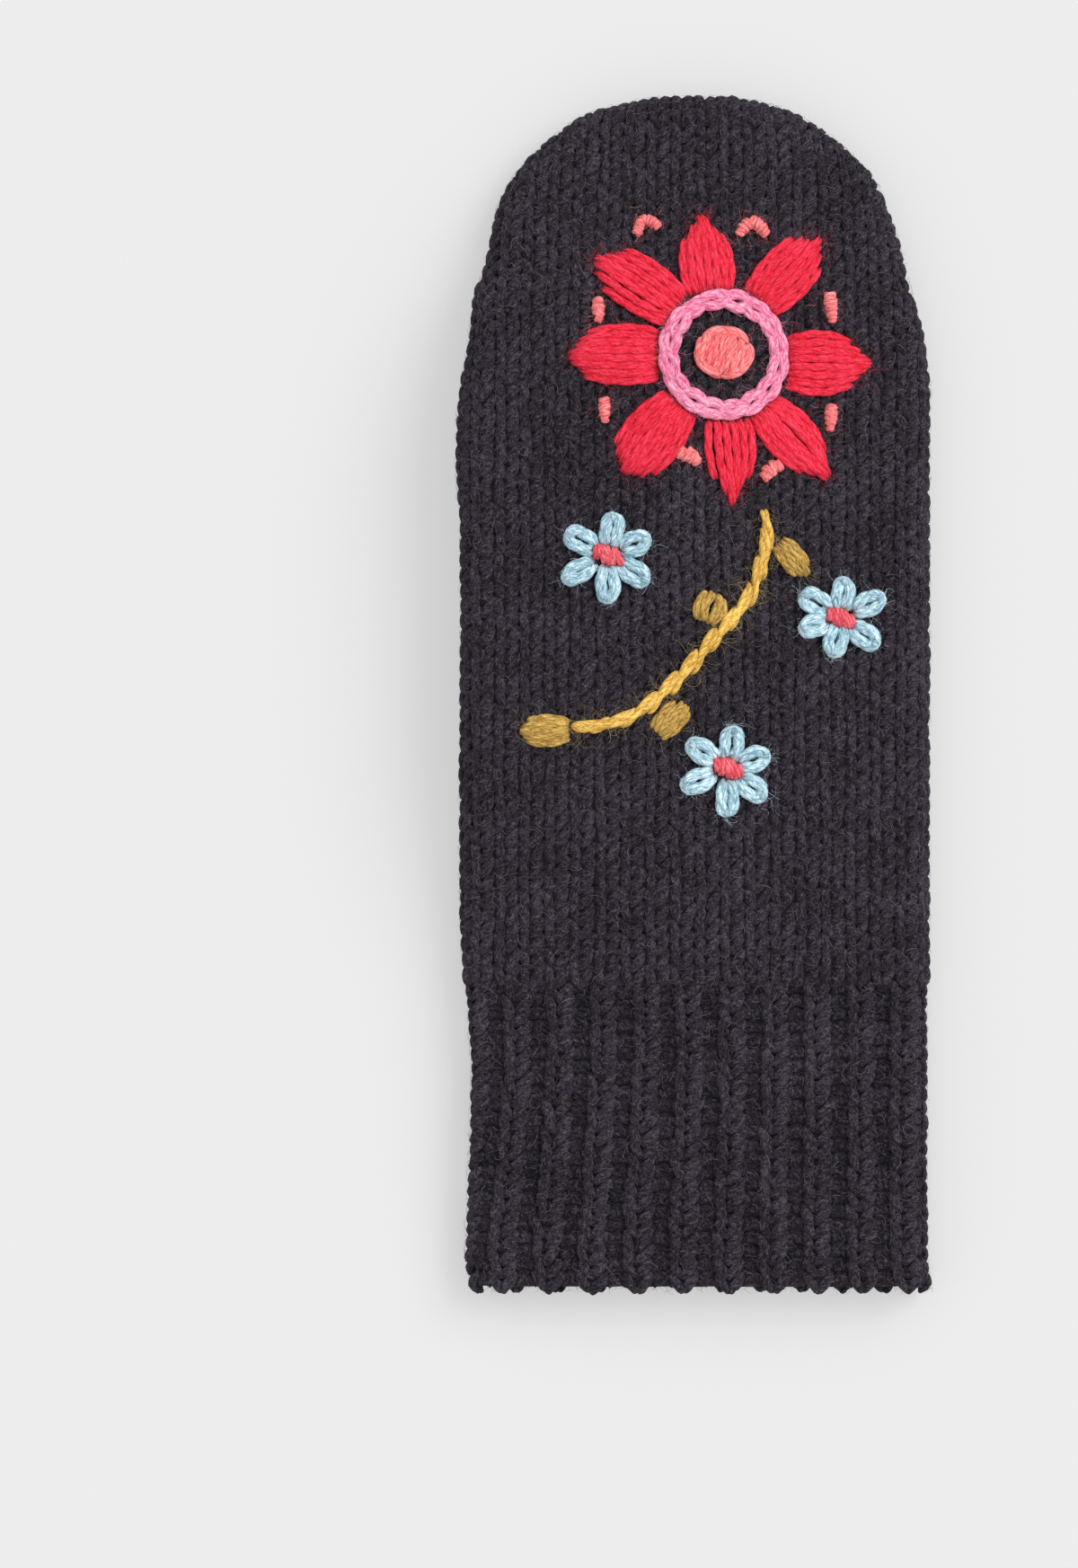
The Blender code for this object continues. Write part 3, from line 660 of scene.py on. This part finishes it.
def make_knit_hand(wool_material, backing):
    hand = hand_pouch()
    half = WIDTH / 2 + hand.unrolled
    wale = 2 * half / HAND_COLUMNS
    centres = plain_centres(-half, half, HAND_START_Y, TOP_Y + hand.unrolled, wale)
    share = np.clip((centres[:, 1] - (TOP_Y - TIP_LENGTH)) / TIP_LENGTH, 0.0, 1.5)
    centres[:, 0] *= 1.0 - TIP_LEAN * share**2
    margin = hand.edge_margin(centres)
    halves = (centres[:, 1] < SPLIT_Y, centres[:, 1] >= SPLIT_Y)
    for top, name, sides, least in ((True, "back", 7, -EDGE_REACH), (False, "palm", 5, EDGE_REACH)):
        for label, half_rows in zip(("wrist", "fingers"), halves):
            kept = centres[half_rows & (margin > least)]
            label = f"{name}_knit_{label}"
            knit(label, hand, kept, wale, COURSE, wool_material, top, sides)
    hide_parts("hand_back")
    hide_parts("palm")
    for name, top in (("back", True), ("palm", False)):
        for layer, depth in (("backing", 1.45 * YARN), ("lining", WALL)):
            sheet = grid_piece(f"{name}_{layer}", pouch_grid(hand, HAND_START_Y, -depth, top), backing)
    return hand


def pouch_grid(pouch, start_y, height, top, columns=44, rows=72):
    """A grid over one sheet of a pouch, from its open end to its closed one."""
    ring = pouch.outline + pouch.corner * pouch.unrolled * 0.999
    end_y = ring[:, 1].max() - 0.0001
    peak = int(np.argmax(ring[:, 1]))
    y = start_y + (end_y - start_y) * np.sin(np.linspace(0, math.pi / 2, rows))
    left = np.interp(y, ring[: peak + 1, 1], ring[: peak + 1, 0])
    right = np.interp(y, ring[peak:, 1][::-1], ring[peak:, 0][::-1])
    t = (1 - np.cos(np.linspace(0, math.pi, columns))) / 2
    spots = np.stack([left[:, None] + (right - left)[:, None] * t, np.repeat(y[:, None], columns, 1)], axis=2)
    points, _ = pouch.place(spots, height, top)
    return points


def make_knit_thumb(wool_material, backing):
    thumb = thumb_pouch()
    half = (THUMB_HIGH[0] - THUMB_LOW[0]) / 2 + thumb.unrolled
    middle = (THUMB_HIGH[0] + THUMB_LOW[0]) / 2
    wale = 2 * half / THUMB_COLUMNS
    for side, top in (("under", False), ("upper", True)):
        centres = plain_centres(middle - half, middle + half, CROTCH_Y, THUMB_TIP_Y + thumb.unrolled, wale)
        centres = centres[thumb.edge_margin(centres) > (-EDGE_REACH if top else EDGE_REACH)]
        piece = knit(f"thumb_knit_{side}", thumb, centres, wale, COURSE, wool_material, top, 5)
        if not top:
            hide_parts("thumb")
        points = pouch_grid(thumb, CROTCH_Y, -1.5 * YARN, top, 20, 30)
        sheet = grid_piece(f"thumb_backing_{side}", points, backing)


def make_knit_cuff(wool_material, backing):
    rib = Rib()
    rows = int(round((HAND_START_Y - MOUTH_Y) / RIB_COURSE))
    course = (HAND_START_Y - MOUTH_Y) / rows
    y = MOUTH_Y + (np.arange(rows) + 0.5) * course
    ribs = np.arange(RIB_COUNT, dtype=float)
    across, along = np.meshgrid(ribs, y)
    centres = np.stack([across.reshape(-1), along.reshape(-1)], axis=1)
    piece = knit("rib_knit_columns", rib, centres, -0.76, course, wool_material, True, 7)
    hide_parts("ribbed_cuff")
    count = len(centres)
    t = np.linspace(-1, 1, 5)
    spots = np.stack(
        [
            centres[:, :1] + 0.5 + 0.22 * t + 0.01 * random.standard_normal((count, 1)),
            centres[:, 1:] + course * (0.45 * (1 - t**2) + 0.08 * random.standard_normal((count, 1))),
        ],
        axis=2,
    )
    points, normals = rib.place(spots, (-1.35 - 0.3 * t**2) * YARN)
    size = np.broadcast_to(YARN * (1.45 - 0.2 * t**2), (count, 5))
    # The purl bumps' tones are below zero, which darkens their wool: painted shade in the recesses between
    # the ribs.
    tones = random.random(count) - 1.2
    bumps = tubes("rib_purl_bumps", points, normals, size, size * 0.36, 6, wool_material, tones)
    y = np.linspace(MOUTH_Y + 0.0006, HAND_START_Y, 12)
    ribs = np.arange(RIB_COUNT * 8) / 8.0
    across, along = np.meshgrid(ribs, y)
    spots = np.stack([across, along], axis=2)
    for layer, depth in (("backing", 1.8 * YARN), ("lining", CUFF_WALL)):
        points, _ = rib.place(spots, -depth)
        sheet = grid_piece(f"rib_{layer}", points, backing, closed_round=True)
    return rib


def unit(angle):
    """The direction at this angle in degrees from +X."""
    return np.array([math.cos(math.radians(angle)), math.sin(math.radians(angle))])


def resample(path, steps):
    """The path with this many points, evenly spaced."""
    path = np.asarray(path, float)
    length = np.concatenate([[0.0], np.cumsum(np.linalg.norm(np.diff(path, axis=0), axis=1))])
    share = np.linspace(0.0, length[-1], steps)
    return np.stack([np.interp(share, length, path[:, axis]) for axis in range(path.shape[1])], axis=1)


def embroider(name, nodes, slot, yarns, radius, material, hand, steps, pitch, loose=1.0, plies=3):
    """Stitches of plied yarn as one piece. A yarn is points across and along the hand, and a height.

    Its plies start at any turn where loose is 1, and side by side where it is 0.
    """
    yarns = np.array([resample(yarn, steps) for yarn in yarns])
    yarns[..., 2] += 0.00006 * random.standard_normal(yarns.shape[:1])[:, None]
    strand_places.setdefault(slot, []).append(yarns.reshape(-1, 3))
    centre, normals = hand.place(yarns[..., :2], yarns[..., 2])
    ahead = np.gradient(centre, axis=1)
    length = np.cumsum(np.linalg.norm(ahead, axis=2), axis=1)
    side = np.cross(ahead, normals)
    side /= np.linalg.norm(side, axis=2, keepdims=True)
    turn = 2 * math.pi * (length / pitch + loose * random.random((len(yarns), 1)))
    radius = np.broadcast_to(radius, len(yarns))[:, None]
    strands = []
    for ply in range(plies):
        angle = turn + 2 * math.pi * ply / plies
        offset = side * np.cos(angle)[..., None] + normals * 0.6 * np.sin(angle)[..., None]
        strands.append(centre + offset * radius[..., None] * 0.46)
    t = np.linspace(-1, 1, steps)
    taper = np.sqrt(np.clip(1.02 - np.abs(t) ** 6, 0.0, 1.0))
    share = 0.66 if plies == 2 else 0.60
    width = np.tile(radius * share * np.maximum(taper, 0.35), (plies, 1))
    piece = tubes(name, np.concatenate(strands), np.concatenate([normals] * plies), width, width, 6, material)
    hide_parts(*nodes)


def satin(start, end, shape, strands, rise):
    """Long stitches side by side from start to end.

    The shape has half the width at the start, middle and end, how much shorter the outer stitches are,
    and how far the halves part.
    """
    start_half, middle_half, end_half, drop, parting = shape
    axis = end - start
    side = np.array([-axis[1], axis[0]]) / np.linalg.norm(axis)
    yarns = []
    for place in np.linspace(-1.0, 1.0, strands):
        place = place + 0.05 * random.standard_normal() / strands
        reach = 1.0 - drop * abs(place) ** 1.5 + 0.02 * random.standard_normal()
        t = np.linspace(0.0, 1.0, 12)
        way = t * reach
        half = (1 - way) * start_half + way * end_half
        half = half + 4 * way * (1 - way) * (middle_half - (start_half + end_half) / 2)
        across = place * half + parting * math.copysign(1.0, place) * np.sin(math.pi * t)
        height = rise * (1.0 - 0.5 * place**2) * np.sin(math.pi * t) ** 0.45 - 0.0007 * np.abs(2 * t - 1) ** 8
        spots = start + way[:, None] * axis + across[:, None] * side
        yarns.append(np.column_stack([spots, height]))
    return yarns


def bar(path, widths, count, rise, lean, rounding=0.30):
    """Short stitches across a path, one after the other."""
    path = resample(path, count)
    ahead = np.gradient(path, axis=0)
    yarns = []
    for n in range(count):
        direction = ahead[n] / np.linalg.norm(ahead[n])
        tilt = lean + 0.22 * random.standard_normal()
        across = np.array([-direction[1], direction[0]]) + tilt * direction
        share = n / (count - 1)
        half = np.interp(share, (0.0, 1.0), widths) / 2 * (1.0 - rounding * (2 * share - 1) ** 4)
        t = np.linspace(-1.0, 1.0, 7)
        spots = path[n] + across * (t * half)[:, None]
        height = rise * np.sqrt(1.02 - t**2) - 0.0004 * t**6
        yarns.append(np.column_stack([spots, height]))
    return yarns


def looped(start, end, half, rise, closing, fullness):
    """One loop of a chain stitch: out along one leg and back along the other."""
    axis = end - start
    side = np.array([-axis[1], axis[0]]) / np.linalg.norm(axis)
    t = np.linspace(0.0, 1.0, 12)
    spread = half * np.sin(math.pi * t**closing) ** fullness
    height = np.interp(t, (0.0, 0.16, 0.45, 0.80, 1.0), (-0.0004, rise * 0.9, rise, rise * 0.9, rise * 0.55))
    along = start + t[:, None] * axis
    out = np.column_stack([along + side * spread[:, None], height])
    back = np.column_stack([along - side * spread[:, None], height])
    return np.vstack([out, back[-2::-1]])


# Petals: angles from +X of the base and of the tip in degrees, share of FLOWER_REACH, number of stitches,
# half the width at the base, middle and tip as shares of PETAL_WIDTH, how much shorter the outer stitches
# are, and how far the halves part
PETALS = (
    (101.7, 98.9, 0.95, 7, 0.40, 0.46, 0.10, 0.28, 0.00),
    (55.7, 50.5, 0.99, 7, 0.36, 0.48, 0.30, 0.20, 0.00),
    (-6.3, -2.7, 0.99, 8, 0.44, 0.56, 0.12, 0.26, 0.00),
    (-52.3, -48.8, 1.07, 7, 0.28, 0.42, 0.10, 0.24, 0.03),
    (-85.5, -86.2, 0.98, 6, 0.38, 0.42, 0.07, 0.30, 0.00),
    (-132.3, -130.2, 1.00, 8, 0.34, 0.54, 0.38, 0.16, 0.00),
    (180.0, 180.0, 1.02, 8, 0.45, 0.52, 0.30, 0.20, 0.00),
    (135.5, 141.9, 1.05, 7, 0.36, 0.50, 0.34, 0.20, 0.00),
)
# Accents: direction of the row of short stitches in degrees, its length, how far it bows, the widths at
# its start and end in mm, and the number of stitches
ACCENTS = (
    (20.0, 4.6, 2.1, 1.7, 1.9, 7),
    (0.0, 5.4, 2.3, 2.2, 2.5, 7),
    (-88.0, 3.9, 0.0, 2.7, 1.4, 4),
    (-84.0, 5.2, 0.0, 3.2, 1.5, 5),
    (-88.0, 4.0, 0.0, 2.7, 1.4, 4),
    (-94.0, 4.4, 0.0, 2.9, 1.4, 5),
    (-28.0, 3.8, 0.4, 3.4, 2.6, 4),
    (38.0, 3.8, 0.4, 2.8, 3.2, 4),
)
# The small flowers' petals: angle in degrees, distance of the middle and half the length in mm
SMALL_PETALS = (
    ((151, 7.0, 3.6), (81, 5.9, 3.5), (23, 6.7, 3.2), (-34, 7.1, 3.6), (-90, 6.6, 3.9), (-151, 7.6, 3.7)),
    ((149, 6.8, 3.6), (84, 5.6, 3.3), (26, 7.3, 3.5), (-36, 7.0, 3.5), (-102, 5.4, 3.3), (-164, 6.5, 3.0)),
    ((147, 6.8, 3.5), (81, 5.8, 3.3), (18, 6.3, 3.3), (-39, 7.2, 3.5), (-90, 7.0, 3.8), (-156, 7.2, 3.6)),
)
# The stem's path from its top, in mm from the lower left end
STEM_PATH = (
    (43.5, 48.2),
    (42.5, 38.4),
    (38.8, 28.8),
    (30.6, 18.9),
    (21.9, 9.4),
    (13.0, 2.6),
    (3.5, 0.6),
    (0.2, 1.2),
)
STEM_STITCHES = 11
# Leaves: direction in degrees, length and width in mm, number of stitches, how far the halves part in mm
LEAVES = (
    (-50.0, 9.6, 5.8, 4, 0.0),
    (68.0, 7.0, 6.4, 4, 0.55),
    (45.0, 9.2, 6.2, 4, 0.0),
    (181.0, 10.8, 7.0, 5, 0.0),
)


def node_middle(node):
    low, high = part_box(node)
    return np.array([(low[0] + high[0]) / 2, (low[1] + high[1]) / 2])


def make_large_flower(hand, red, pink, coral):
    middle = node_middle("flower_ring")
    low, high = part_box("flower_ring")
    outer = (high[0] - low[0]) / 2
    radius = outer - RING_BAND / 2
    for number, row in enumerate(PETALS, 1):
        base_angle, tip_angle, reach, strands, base, wide, tip, drop, parting = row
        start = middle + unit(base_angle) * (outer - 0.0010)
        end = middle + unit(tip_angle) * FLOWER_REACH * reach
        halves = [share * PETAL_WIDTH - 0.0006 for share in (base, wide, tip)]
        yarns = satin(start, end, (*halves, drop, parting * PETAL_WIDTH), strands, 0.0017)
        name = f"petal_stitches_{number}"
        nodes = [f"petal_{number}"]
        embroider(name, nodes, "red_wool", yarns, PETAL_YARN, red, hand, 17, LONG_TWIST)
    links = 16
    yarns = []
    for n in range(links):
        first = -360.0 * n / links + 96.0
        last = first - 360.0 / links * 1.45
        start = middle + unit(first) * radius
        end = middle + unit(last) * radius
        spread = 0.00126 * (1.0 + 0.10 * random.standard_normal())
        yarns.append(looped(start, end, spread, 0.0012 + 0.00018 * math.sin(3.0 * n), 1.35, 0.62))
    name, nodes = "flower_ring_chain", ["flower_ring"]
    embroider(name, nodes, "pink_wool", yarns, CHAIN_YARN, pink, hand, 26, LONG_TWIST)
    middle = node_middle("flower_centre")
    low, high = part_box("flower_centre")
    half_x = (high[0] - low[0]) / 2
    half_y = (high[1] - low[1]) / 2
    yarns = []
    lie = unit(72.0)
    across = np.array([lie[1], -lie[0]])
    for place in np.linspace(-0.72, 0.72, 6):
        reach = math.sqrt(1.0 - place**2) * half_y * 0.86
        t = np.linspace(-1.0, 1.0, 9)
        spots = middle + across * place * half_x * 0.92 + lie * (t * reach)[:, None]
        height = 0.0016 * (1.02 - t**2) ** 0.35 - 0.0002
        yarns.append(np.column_stack([spots, height]))
    for turn in (20.0, 140.0, 260.0):
        angles = np.radians(turn + np.linspace(0.0, 126.0, 14))
        rim_x = middle[0] + np.cos(angles) * (half_x - 0.0009)
        rim_y = middle[1] + np.sin(angles) * (half_y - 0.0009)
        height = np.interp(np.linspace(0, 1, 14), (0.0, 0.12, 0.88, 1.0), (0.0, 0.0010, 0.0010, 0.0))
        yarns.append(np.column_stack([rim_x, rim_y, height]))
    name, nodes = "flower_centre_stitches", ["flower_centre"]
    embroider(name, nodes, "coral_wool", yarns, CENTRE_YARN, coral, hand, 17, CENTRE_TWIST)
    for number, (turn, length, bow, first, last, count) in enumerate(ACCENTS, 1):
        place = node_middle(f"accent_{number}")
        ahead = unit(turn)
        side = np.array([-ahead[1], ahead[0]])
        t = np.linspace(-0.5, 0.5, 7)
        path = place + ahead * (t * length * 0.001)[:, None]
        path = path + side * ((0.5 - 4 * t**2) * bow * 0.001)[:, None]
        widths = (first * 0.001, last * 0.001)
        yarns = bar(path, widths, count, 0.0012, 0.22)
        name = f"accent_stitches_{number}"
        nodes = [f"accent_{number}"]
        embroider(name, nodes, "coral_wool", yarns, ACCENT_YARN, coral, hand, 9, SHORT_TWIST)


def make_small_flowers(hand, blue, rose):
    for number, petals in enumerate(SMALL_PETALS, 1):
        middle = node_middle(f"small_flower_{number}")
        yarns = []
        radii = []
        for angle, distance, half in petals:
            ahead = unit(angle)
            start = middle + ahead * (distance - half - 0.4) * 0.001
            end = middle + ahead * (distance + half - 0.8) * 0.001
            spread = 0.00150 * (1.0 + 0.07 * random.standard_normal())
            yarns.append(looped(start, end, spread, 0.0012, 1.25, 0.33))
            radii.append(LOOP_YARN)
            tip = middle + ahead * (distance + half - 0.2) * 0.001
            anchor = end - ahead * 0.0008
            t = np.linspace(0.0, 1.0, 6)
            spots = anchor + (tip - anchor) * t[:, None]
            height = 0.0022 * np.sin(math.pi * t) ** 0.5 - 0.0006 * t**3
            yarns.append(np.column_stack([spots, height]))
            radii.append(TACK_YARN)
        name = f"small_flower_stitches_{number}"
        nodes = [f"small_flower_{number}"]
        embroider(name, nodes, "pale_blue_wool", yarns, np.array(radii), blue, hand, 24, LOOP_TWIST)
        place = node_middle(f"small_knot_{number}")
        ahead = unit(-16.0)
        t = np.linspace(-0.5, 0.5, 5)
        path = place + ahead * (t * 0.0050)[:, None]
        yarns = bar(path, (0.0042, 0.0042), 5, 0.0019, -0.30, 0.38)
        name = f"small_knot_stitches_{number}"
        nodes = [f"small_knot_{number}"]
        embroider(name, nodes, "coral_wool", yarns, KNOT_YARN, rose, hand, 9, SHORT_TWIST)


def make_sprig(hand, ochre, olive):
    low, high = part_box("stem")
    corner = np.array([low[0], low[1] + 0.0016])
    yarns = []
    path = resample(corner + smooth_curve(np.array(STEM_PATH) * 0.001, 8), 200)
    for n in range(STEM_STITCHES):
        first = max(0.0, (n - 0.35) / STEM_STITCHES)
        last = min(1.0, (n + 1.40) / STEM_STITCHES)
        t = np.linspace(0.0, 1.0, 12)
        row = (first + (last - first) * t) * (len(path) - 1)
        spots = np.stack([np.interp(row, np.arange(len(path)), path[:, axis]) for axis in (0, 1)], axis=1)
        ahead = spots[-1] - spots[0]
        side = np.array([-ahead[1], ahead[0]]) / np.linalg.norm(ahead)
        across = 0.0011 * (2 * t - 1) * (1.0 + 0.2 * random.standard_normal())
        height = 0.0013 * np.sin(math.pi * t) ** 0.3 + 0.0006 * (0.5 - t)
        yarns.append(np.column_stack([spots + side * across[:, None], height]))
    embroider("stem_stitches", ["stem"], "ochre_wool", yarns, STEM_YARN, ochre, hand, 18, LONG_TWIST, 0.2, 2)
    for number, (turn, length, width, strands, parting) in enumerate(LEAVES, 1):
        middle = node_middle(f"leaf_{number}")
        ahead = unit(turn) * length * 0.0005
        half = width * 0.0005 - 0.0009
        shape = (half * 0.6, half, half * 0.5, 0.14, parting * 0.001)
        yarns = satin(middle - ahead, middle + ahead, shape, strands, 0.0013)
        name = f"leaf_stitches_{number}"
        nodes = [f"leaf_{number}"]
        embroider(name, nodes, "olive_ochre_wool", yarns, LEAF_YARN, olive, hand, 17, LOOP_TWIST)


def ribbons(name, paths, normals, width, material, tones=None):
    """Fine hairs as narrow ribbons, each rolled at random about its length."""
    count, steps, _ = paths.shape
    ahead = np.gradient(paths, axis=1)
    side = np.cross(ahead, normals)
    side /= np.maximum(np.linalg.norm(side, axis=2, keepdims=True), 1e-12)
    roll = random.uniform(-1.0, 1.0, (count, 1, 1))
    side = side * np.cos(roll) + normals * np.sin(roll)
    half = width / 2 * np.linspace(1.0, 0.5, steps)[None, :, None]
    points = np.stack([paths - side * half, paths + side * half], axis=2)
    index = np.arange(count * steps * 2).reshape(count, steps, 2)
    quads = np.stack([index[:, :-1, 0], index[:, :-1, 1], index[:, 1:, 1], index[:, 1:, 0]], axis=-1)
    quads = quads.reshape(-1)
    mesh = strand_mesh(name, points, quads, np.full(len(quads) // 4, 4), tones)
    return add_piece(name, mesh, material)


def hair_paths(starts, length, curl, rise, steps=6):
    """Curling paths over the flat sheet, and their heights over it."""
    count = len(starts)
    heading = random.uniform(0.0, 2 * math.pi, count)
    reach = length * random.uniform(0.35, 1.4, count)
    bend = curl * random.standard_normal(count)
    change = 0.8 * curl * random.standard_normal(count)
    spots = np.empty((count, steps, 2))
    spots[:, 0] = starts
    for n in range(1, steps):
        heading = heading + (bend + change * (2 * n / steps - 1)) / (steps - 1)
        stride = reach / (steps - 1)
        spots[:, n, 0] = spots[:, n - 1, 0] + np.cos(heading) * stride
        spots[:, n, 1] = spots[:, n - 1, 1] + np.sin(heading) * stride
    top = rise * random.random((count, 1)) ** 2
    t = np.linspace(0.0, 1.0, steps)
    heights = 0.00005 + top * np.sin(t * random.uniform(1.2, 3.0, (count, 1)))
    return spots, heights


def hair_wool(name, dark, light):
    """Loose fibres, each of one tone between two."""
    material, tree, shader = new_material(name)
    stops = add_colours(tree, shader, tone_of(tree), dark, light)
    stops[1].position = 0.95
    set_inputs(shader, {"Roughness": 0.7, "Specular IOR Level": 0.2})
    return material


def scatter(pouch, count, low_y, high_y, half, margin):
    """Random places on the flat sheet of a pouch."""
    starts = np.stack([random.uniform(-half, half, count), random.uniform(low_y, high_y, count)], axis=1)
    return starts[pouch.edge_margin(starts) > margin]


def make_knit_fuzz(hand, rib, hair):
    half = WIDTH / 2 + hand.unrolled
    end_y = TOP_Y + hand.unrolled
    for label, top, count in (("back", True, 19000), ("palm", False, 6000)):
        starts = scatter(hand, count, HAND_START_Y, end_y, half, 0.0005)
        tones = random.random(len(starts)) ** HAIR_DARKNESS
        spots, heights = hair_paths(starts, *KNIT_HAIR)
        points, normals = hand.place(spots, heights, top)
        piece = ribbons(f"{label}_fuzz", points, normals, KNIT_HAIR_WIDTH, hair, tones)
    count = 9000
    across = random.uniform(0, RIB_COUNT, count)
    starts = np.stack([across, random.uniform(MOUTH_Y, HAND_START_Y, count)], axis=1)
    metres = (RIB_WIDTH, 1.0)
    spots, heights = hair_paths(starts * metres, *KNIT_HAIR)
    spots = spots / metres
    spots[..., 1] = np.clip(spots[..., 1], MOUTH_Y - 0.001, None)
    points, normals = rib.place(spots, heights)
    tones = random.random(count) ** HAIR_DARKNESS
    piece = ribbons("rib_fuzz", points, normals, KNIT_HAIR_WIDTH, hair, tones)


def make_coloured_fuzz(hand, hairs):
    """Fibres of the embroidery's own wools, straying from its strands."""
    groups = (
        ("red", "red_wool", 2600, 0.0030),
        ("pink", "pink_wool", 900, 0.0030),
        ("coral", "coral_wool", 700, 0.0022),
        ("blue", "pale_blue_wool", 600, 0.0026),
        ("ochre", "ochre_wool", 420, 0.0042),
        ("olive", "olive_ochre_wool", 260, 0.0036),
    )
    for label, slot, count, length in groups:
        places = np.concatenate(strand_places[slot])
        starts = places[random.integers(0, len(places), count)]
        near = starts[:, :2] + 0.0009 * random.standard_normal((count, 2))
        spots, heights = hair_paths(near, length, 2.0, 0.0012)
        points, normals = hand.place(spots, heights + np.maximum(starts[:, 2:], 0.0003))
        piece = ribbons(f"{label}_fuzz", points, normals, FINE_HAIR_WIDTH, hairs[label])


def make_floor():
    mesh = bpy.data.meshes.new("floor")
    corners = [(x * FLOOR_HALF, y * FLOOR_HALF, 0) for x, y in ((-1, -1), (1, -1), (1, 1), (-1, 1))]
    mesh.from_pydata(corners, [], [(0, 1, 2, 3)])
    material, tree, shader = new_material("pale_floor")
    set_inputs(shader, {"Base Color": (0.30, 0.30, 0.30, 1), "Emission Color": (1, 1, 1, 1)})
    set_inputs(shader, {"Emission Strength": FLOOR_GLOW, "Roughness": 0.9, "Specular IOR Level": 0.1})
    mesh.materials.append(material)
    floor = bpy.data.objects.new("floor", mesh)
    floor.location.z = -FLOOR_GAP
    bpy.context.scene.collection.objects.link(floor)


def make_lights():
    bpy.context.scene.view_settings.view_transform = "Standard"
    world = bpy.data.worlds.new("soft_room")
    world.use_nodes = True
    background = world.node_tree.nodes["Background"]
    background.inputs[0].default_value = (1.0, 1.0, 1.0, 1)
    background.inputs[1].default_value = ROOM_LIGHT
    bpy.context.scene.world = world
    light = bpy.data.lights.new("key", "SUN")
    light.energy = SUN_STRENGTH
    light.angle = math.radians(SUN_SPREAD)
    lamp = bpy.data.objects.new("key", light)
    lamp.rotation_euler = (-Vector(SUN_FROM)).to_track_quat("-Z", "Y").to_euler()
    bpy.context.scene.collection.objects.link(lamp)


def make_camera():
    camera = bpy.data.cameras.new("camera")
    camera.sensor_width = 36.0
    camera.lens = 36.0 * CAMERA_HEIGHT / (FRAME_HEIGHT * PIXEL)
    camera.clip_end = 20.0
    eye = bpy.data.objects.new("camera", camera)
    x = (FRAME_WIDTH / 2 - MIDDLE_PX[0]) * PIXEL
    y = (MIDDLE_PX[1] - FRAME_HEIGHT / 2) * PIXEL
    eye.location = (x, y, CAMERA_HEIGHT)
    bpy.context.scene.collection.objects.link(eye)
    bpy.context.scene.camera = eye


make_camera()
make_lights()
make_floor()
greys = ((0.0035, 0.0022, 0.0040), (0.086, 0.069, 0.092), (0.8, 0.75, 0.9))
charcoal = wool("charcoal_wool", *greys, 0.9, 0.0007, 0.29, 0.55, 1.1)
depth = backing_wool("charcoal_depth", (0.009, 0.007, 0.010), (0.060, 0.050, 0.062))
red = wool("red_wool", (0.72, 0.006, 0.020), (1.0, 0.060, 0.120), (1.0, 0.5, 0.6), 1.0, 0.0005)
pink = wool("pink_wool", (0.74, 0.11, 0.26), (1.0, 0.45, 0.61), (1.0, 0.8, 0.9), 1.0, 0.0005)
coral = wool("coral_wool", (0.84, 0.09, 0.11), (1.0, 0.37, 0.36), (1.0, 0.8, 0.8), 1.0, 0.0005)
rose = wool("rose_coral_wool", (0.70, 0.035, 0.07), (1.0, 0.24, 0.27), (1.0, 0.8, 0.8), 1.0, 0.0005)
blue = wool("pale_blue_wool", (0.17, 0.34, 0.43), (0.72, 0.92, 1.0), (1.0, 1.0, 1.0))
ochre = wool("ochre_wool", (0.50, 0.26, 0.035), (1.0, 0.66, 0.17), (1.0, 0.9, 0.6))
olive = wool("olive_ochre_wool", (0.26, 0.15, 0.030), (0.72, 0.46, 0.125), (1.0, 0.9, 0.6))
hairs = {
    "charcoal": hair_wool("charcoal_fibres", (0.016, 0.012, 0.017), (0.17, 0.16, 0.19)),
    "red": hair_wool("red_fibres", (0.25, 0.004, 0.012), (0.75, 0.05, 0.08)),
    "pink": hair_wool("pink_fibres", (0.35, 0.08, 0.15), (0.85, 0.35, 0.50)),
    "coral": hair_wool("coral_fibres", (0.40, 0.06, 0.07), (0.85, 0.30, 0.28)),
    "blue": hair_wool("pale_blue_fibres", (0.22, 0.34, 0.40), (0.75, 0.88, 0.94)),
    "ochre": hair_wool("ochre_fibres", (0.22, 0.13, 0.03), (0.65, 0.48, 0.18)),
    "olive": hair_wool("olive_ochre_fibres", (0.16, 0.10, 0.03), (0.50, 0.36, 0.15)),
}
hand = make_knit_hand(charcoal, depth)
make_knit_thumb(charcoal, depth)
rib = make_knit_cuff(charcoal, depth)
make_large_flower(hand, red, pink, coral)
make_small_flowers(hand, blue, rose)
make_sprig(hand, ochre, olive)
make_knit_fuzz(hand, rib, hairs["charcoal"])
make_coloured_fuzz(hand, hairs)
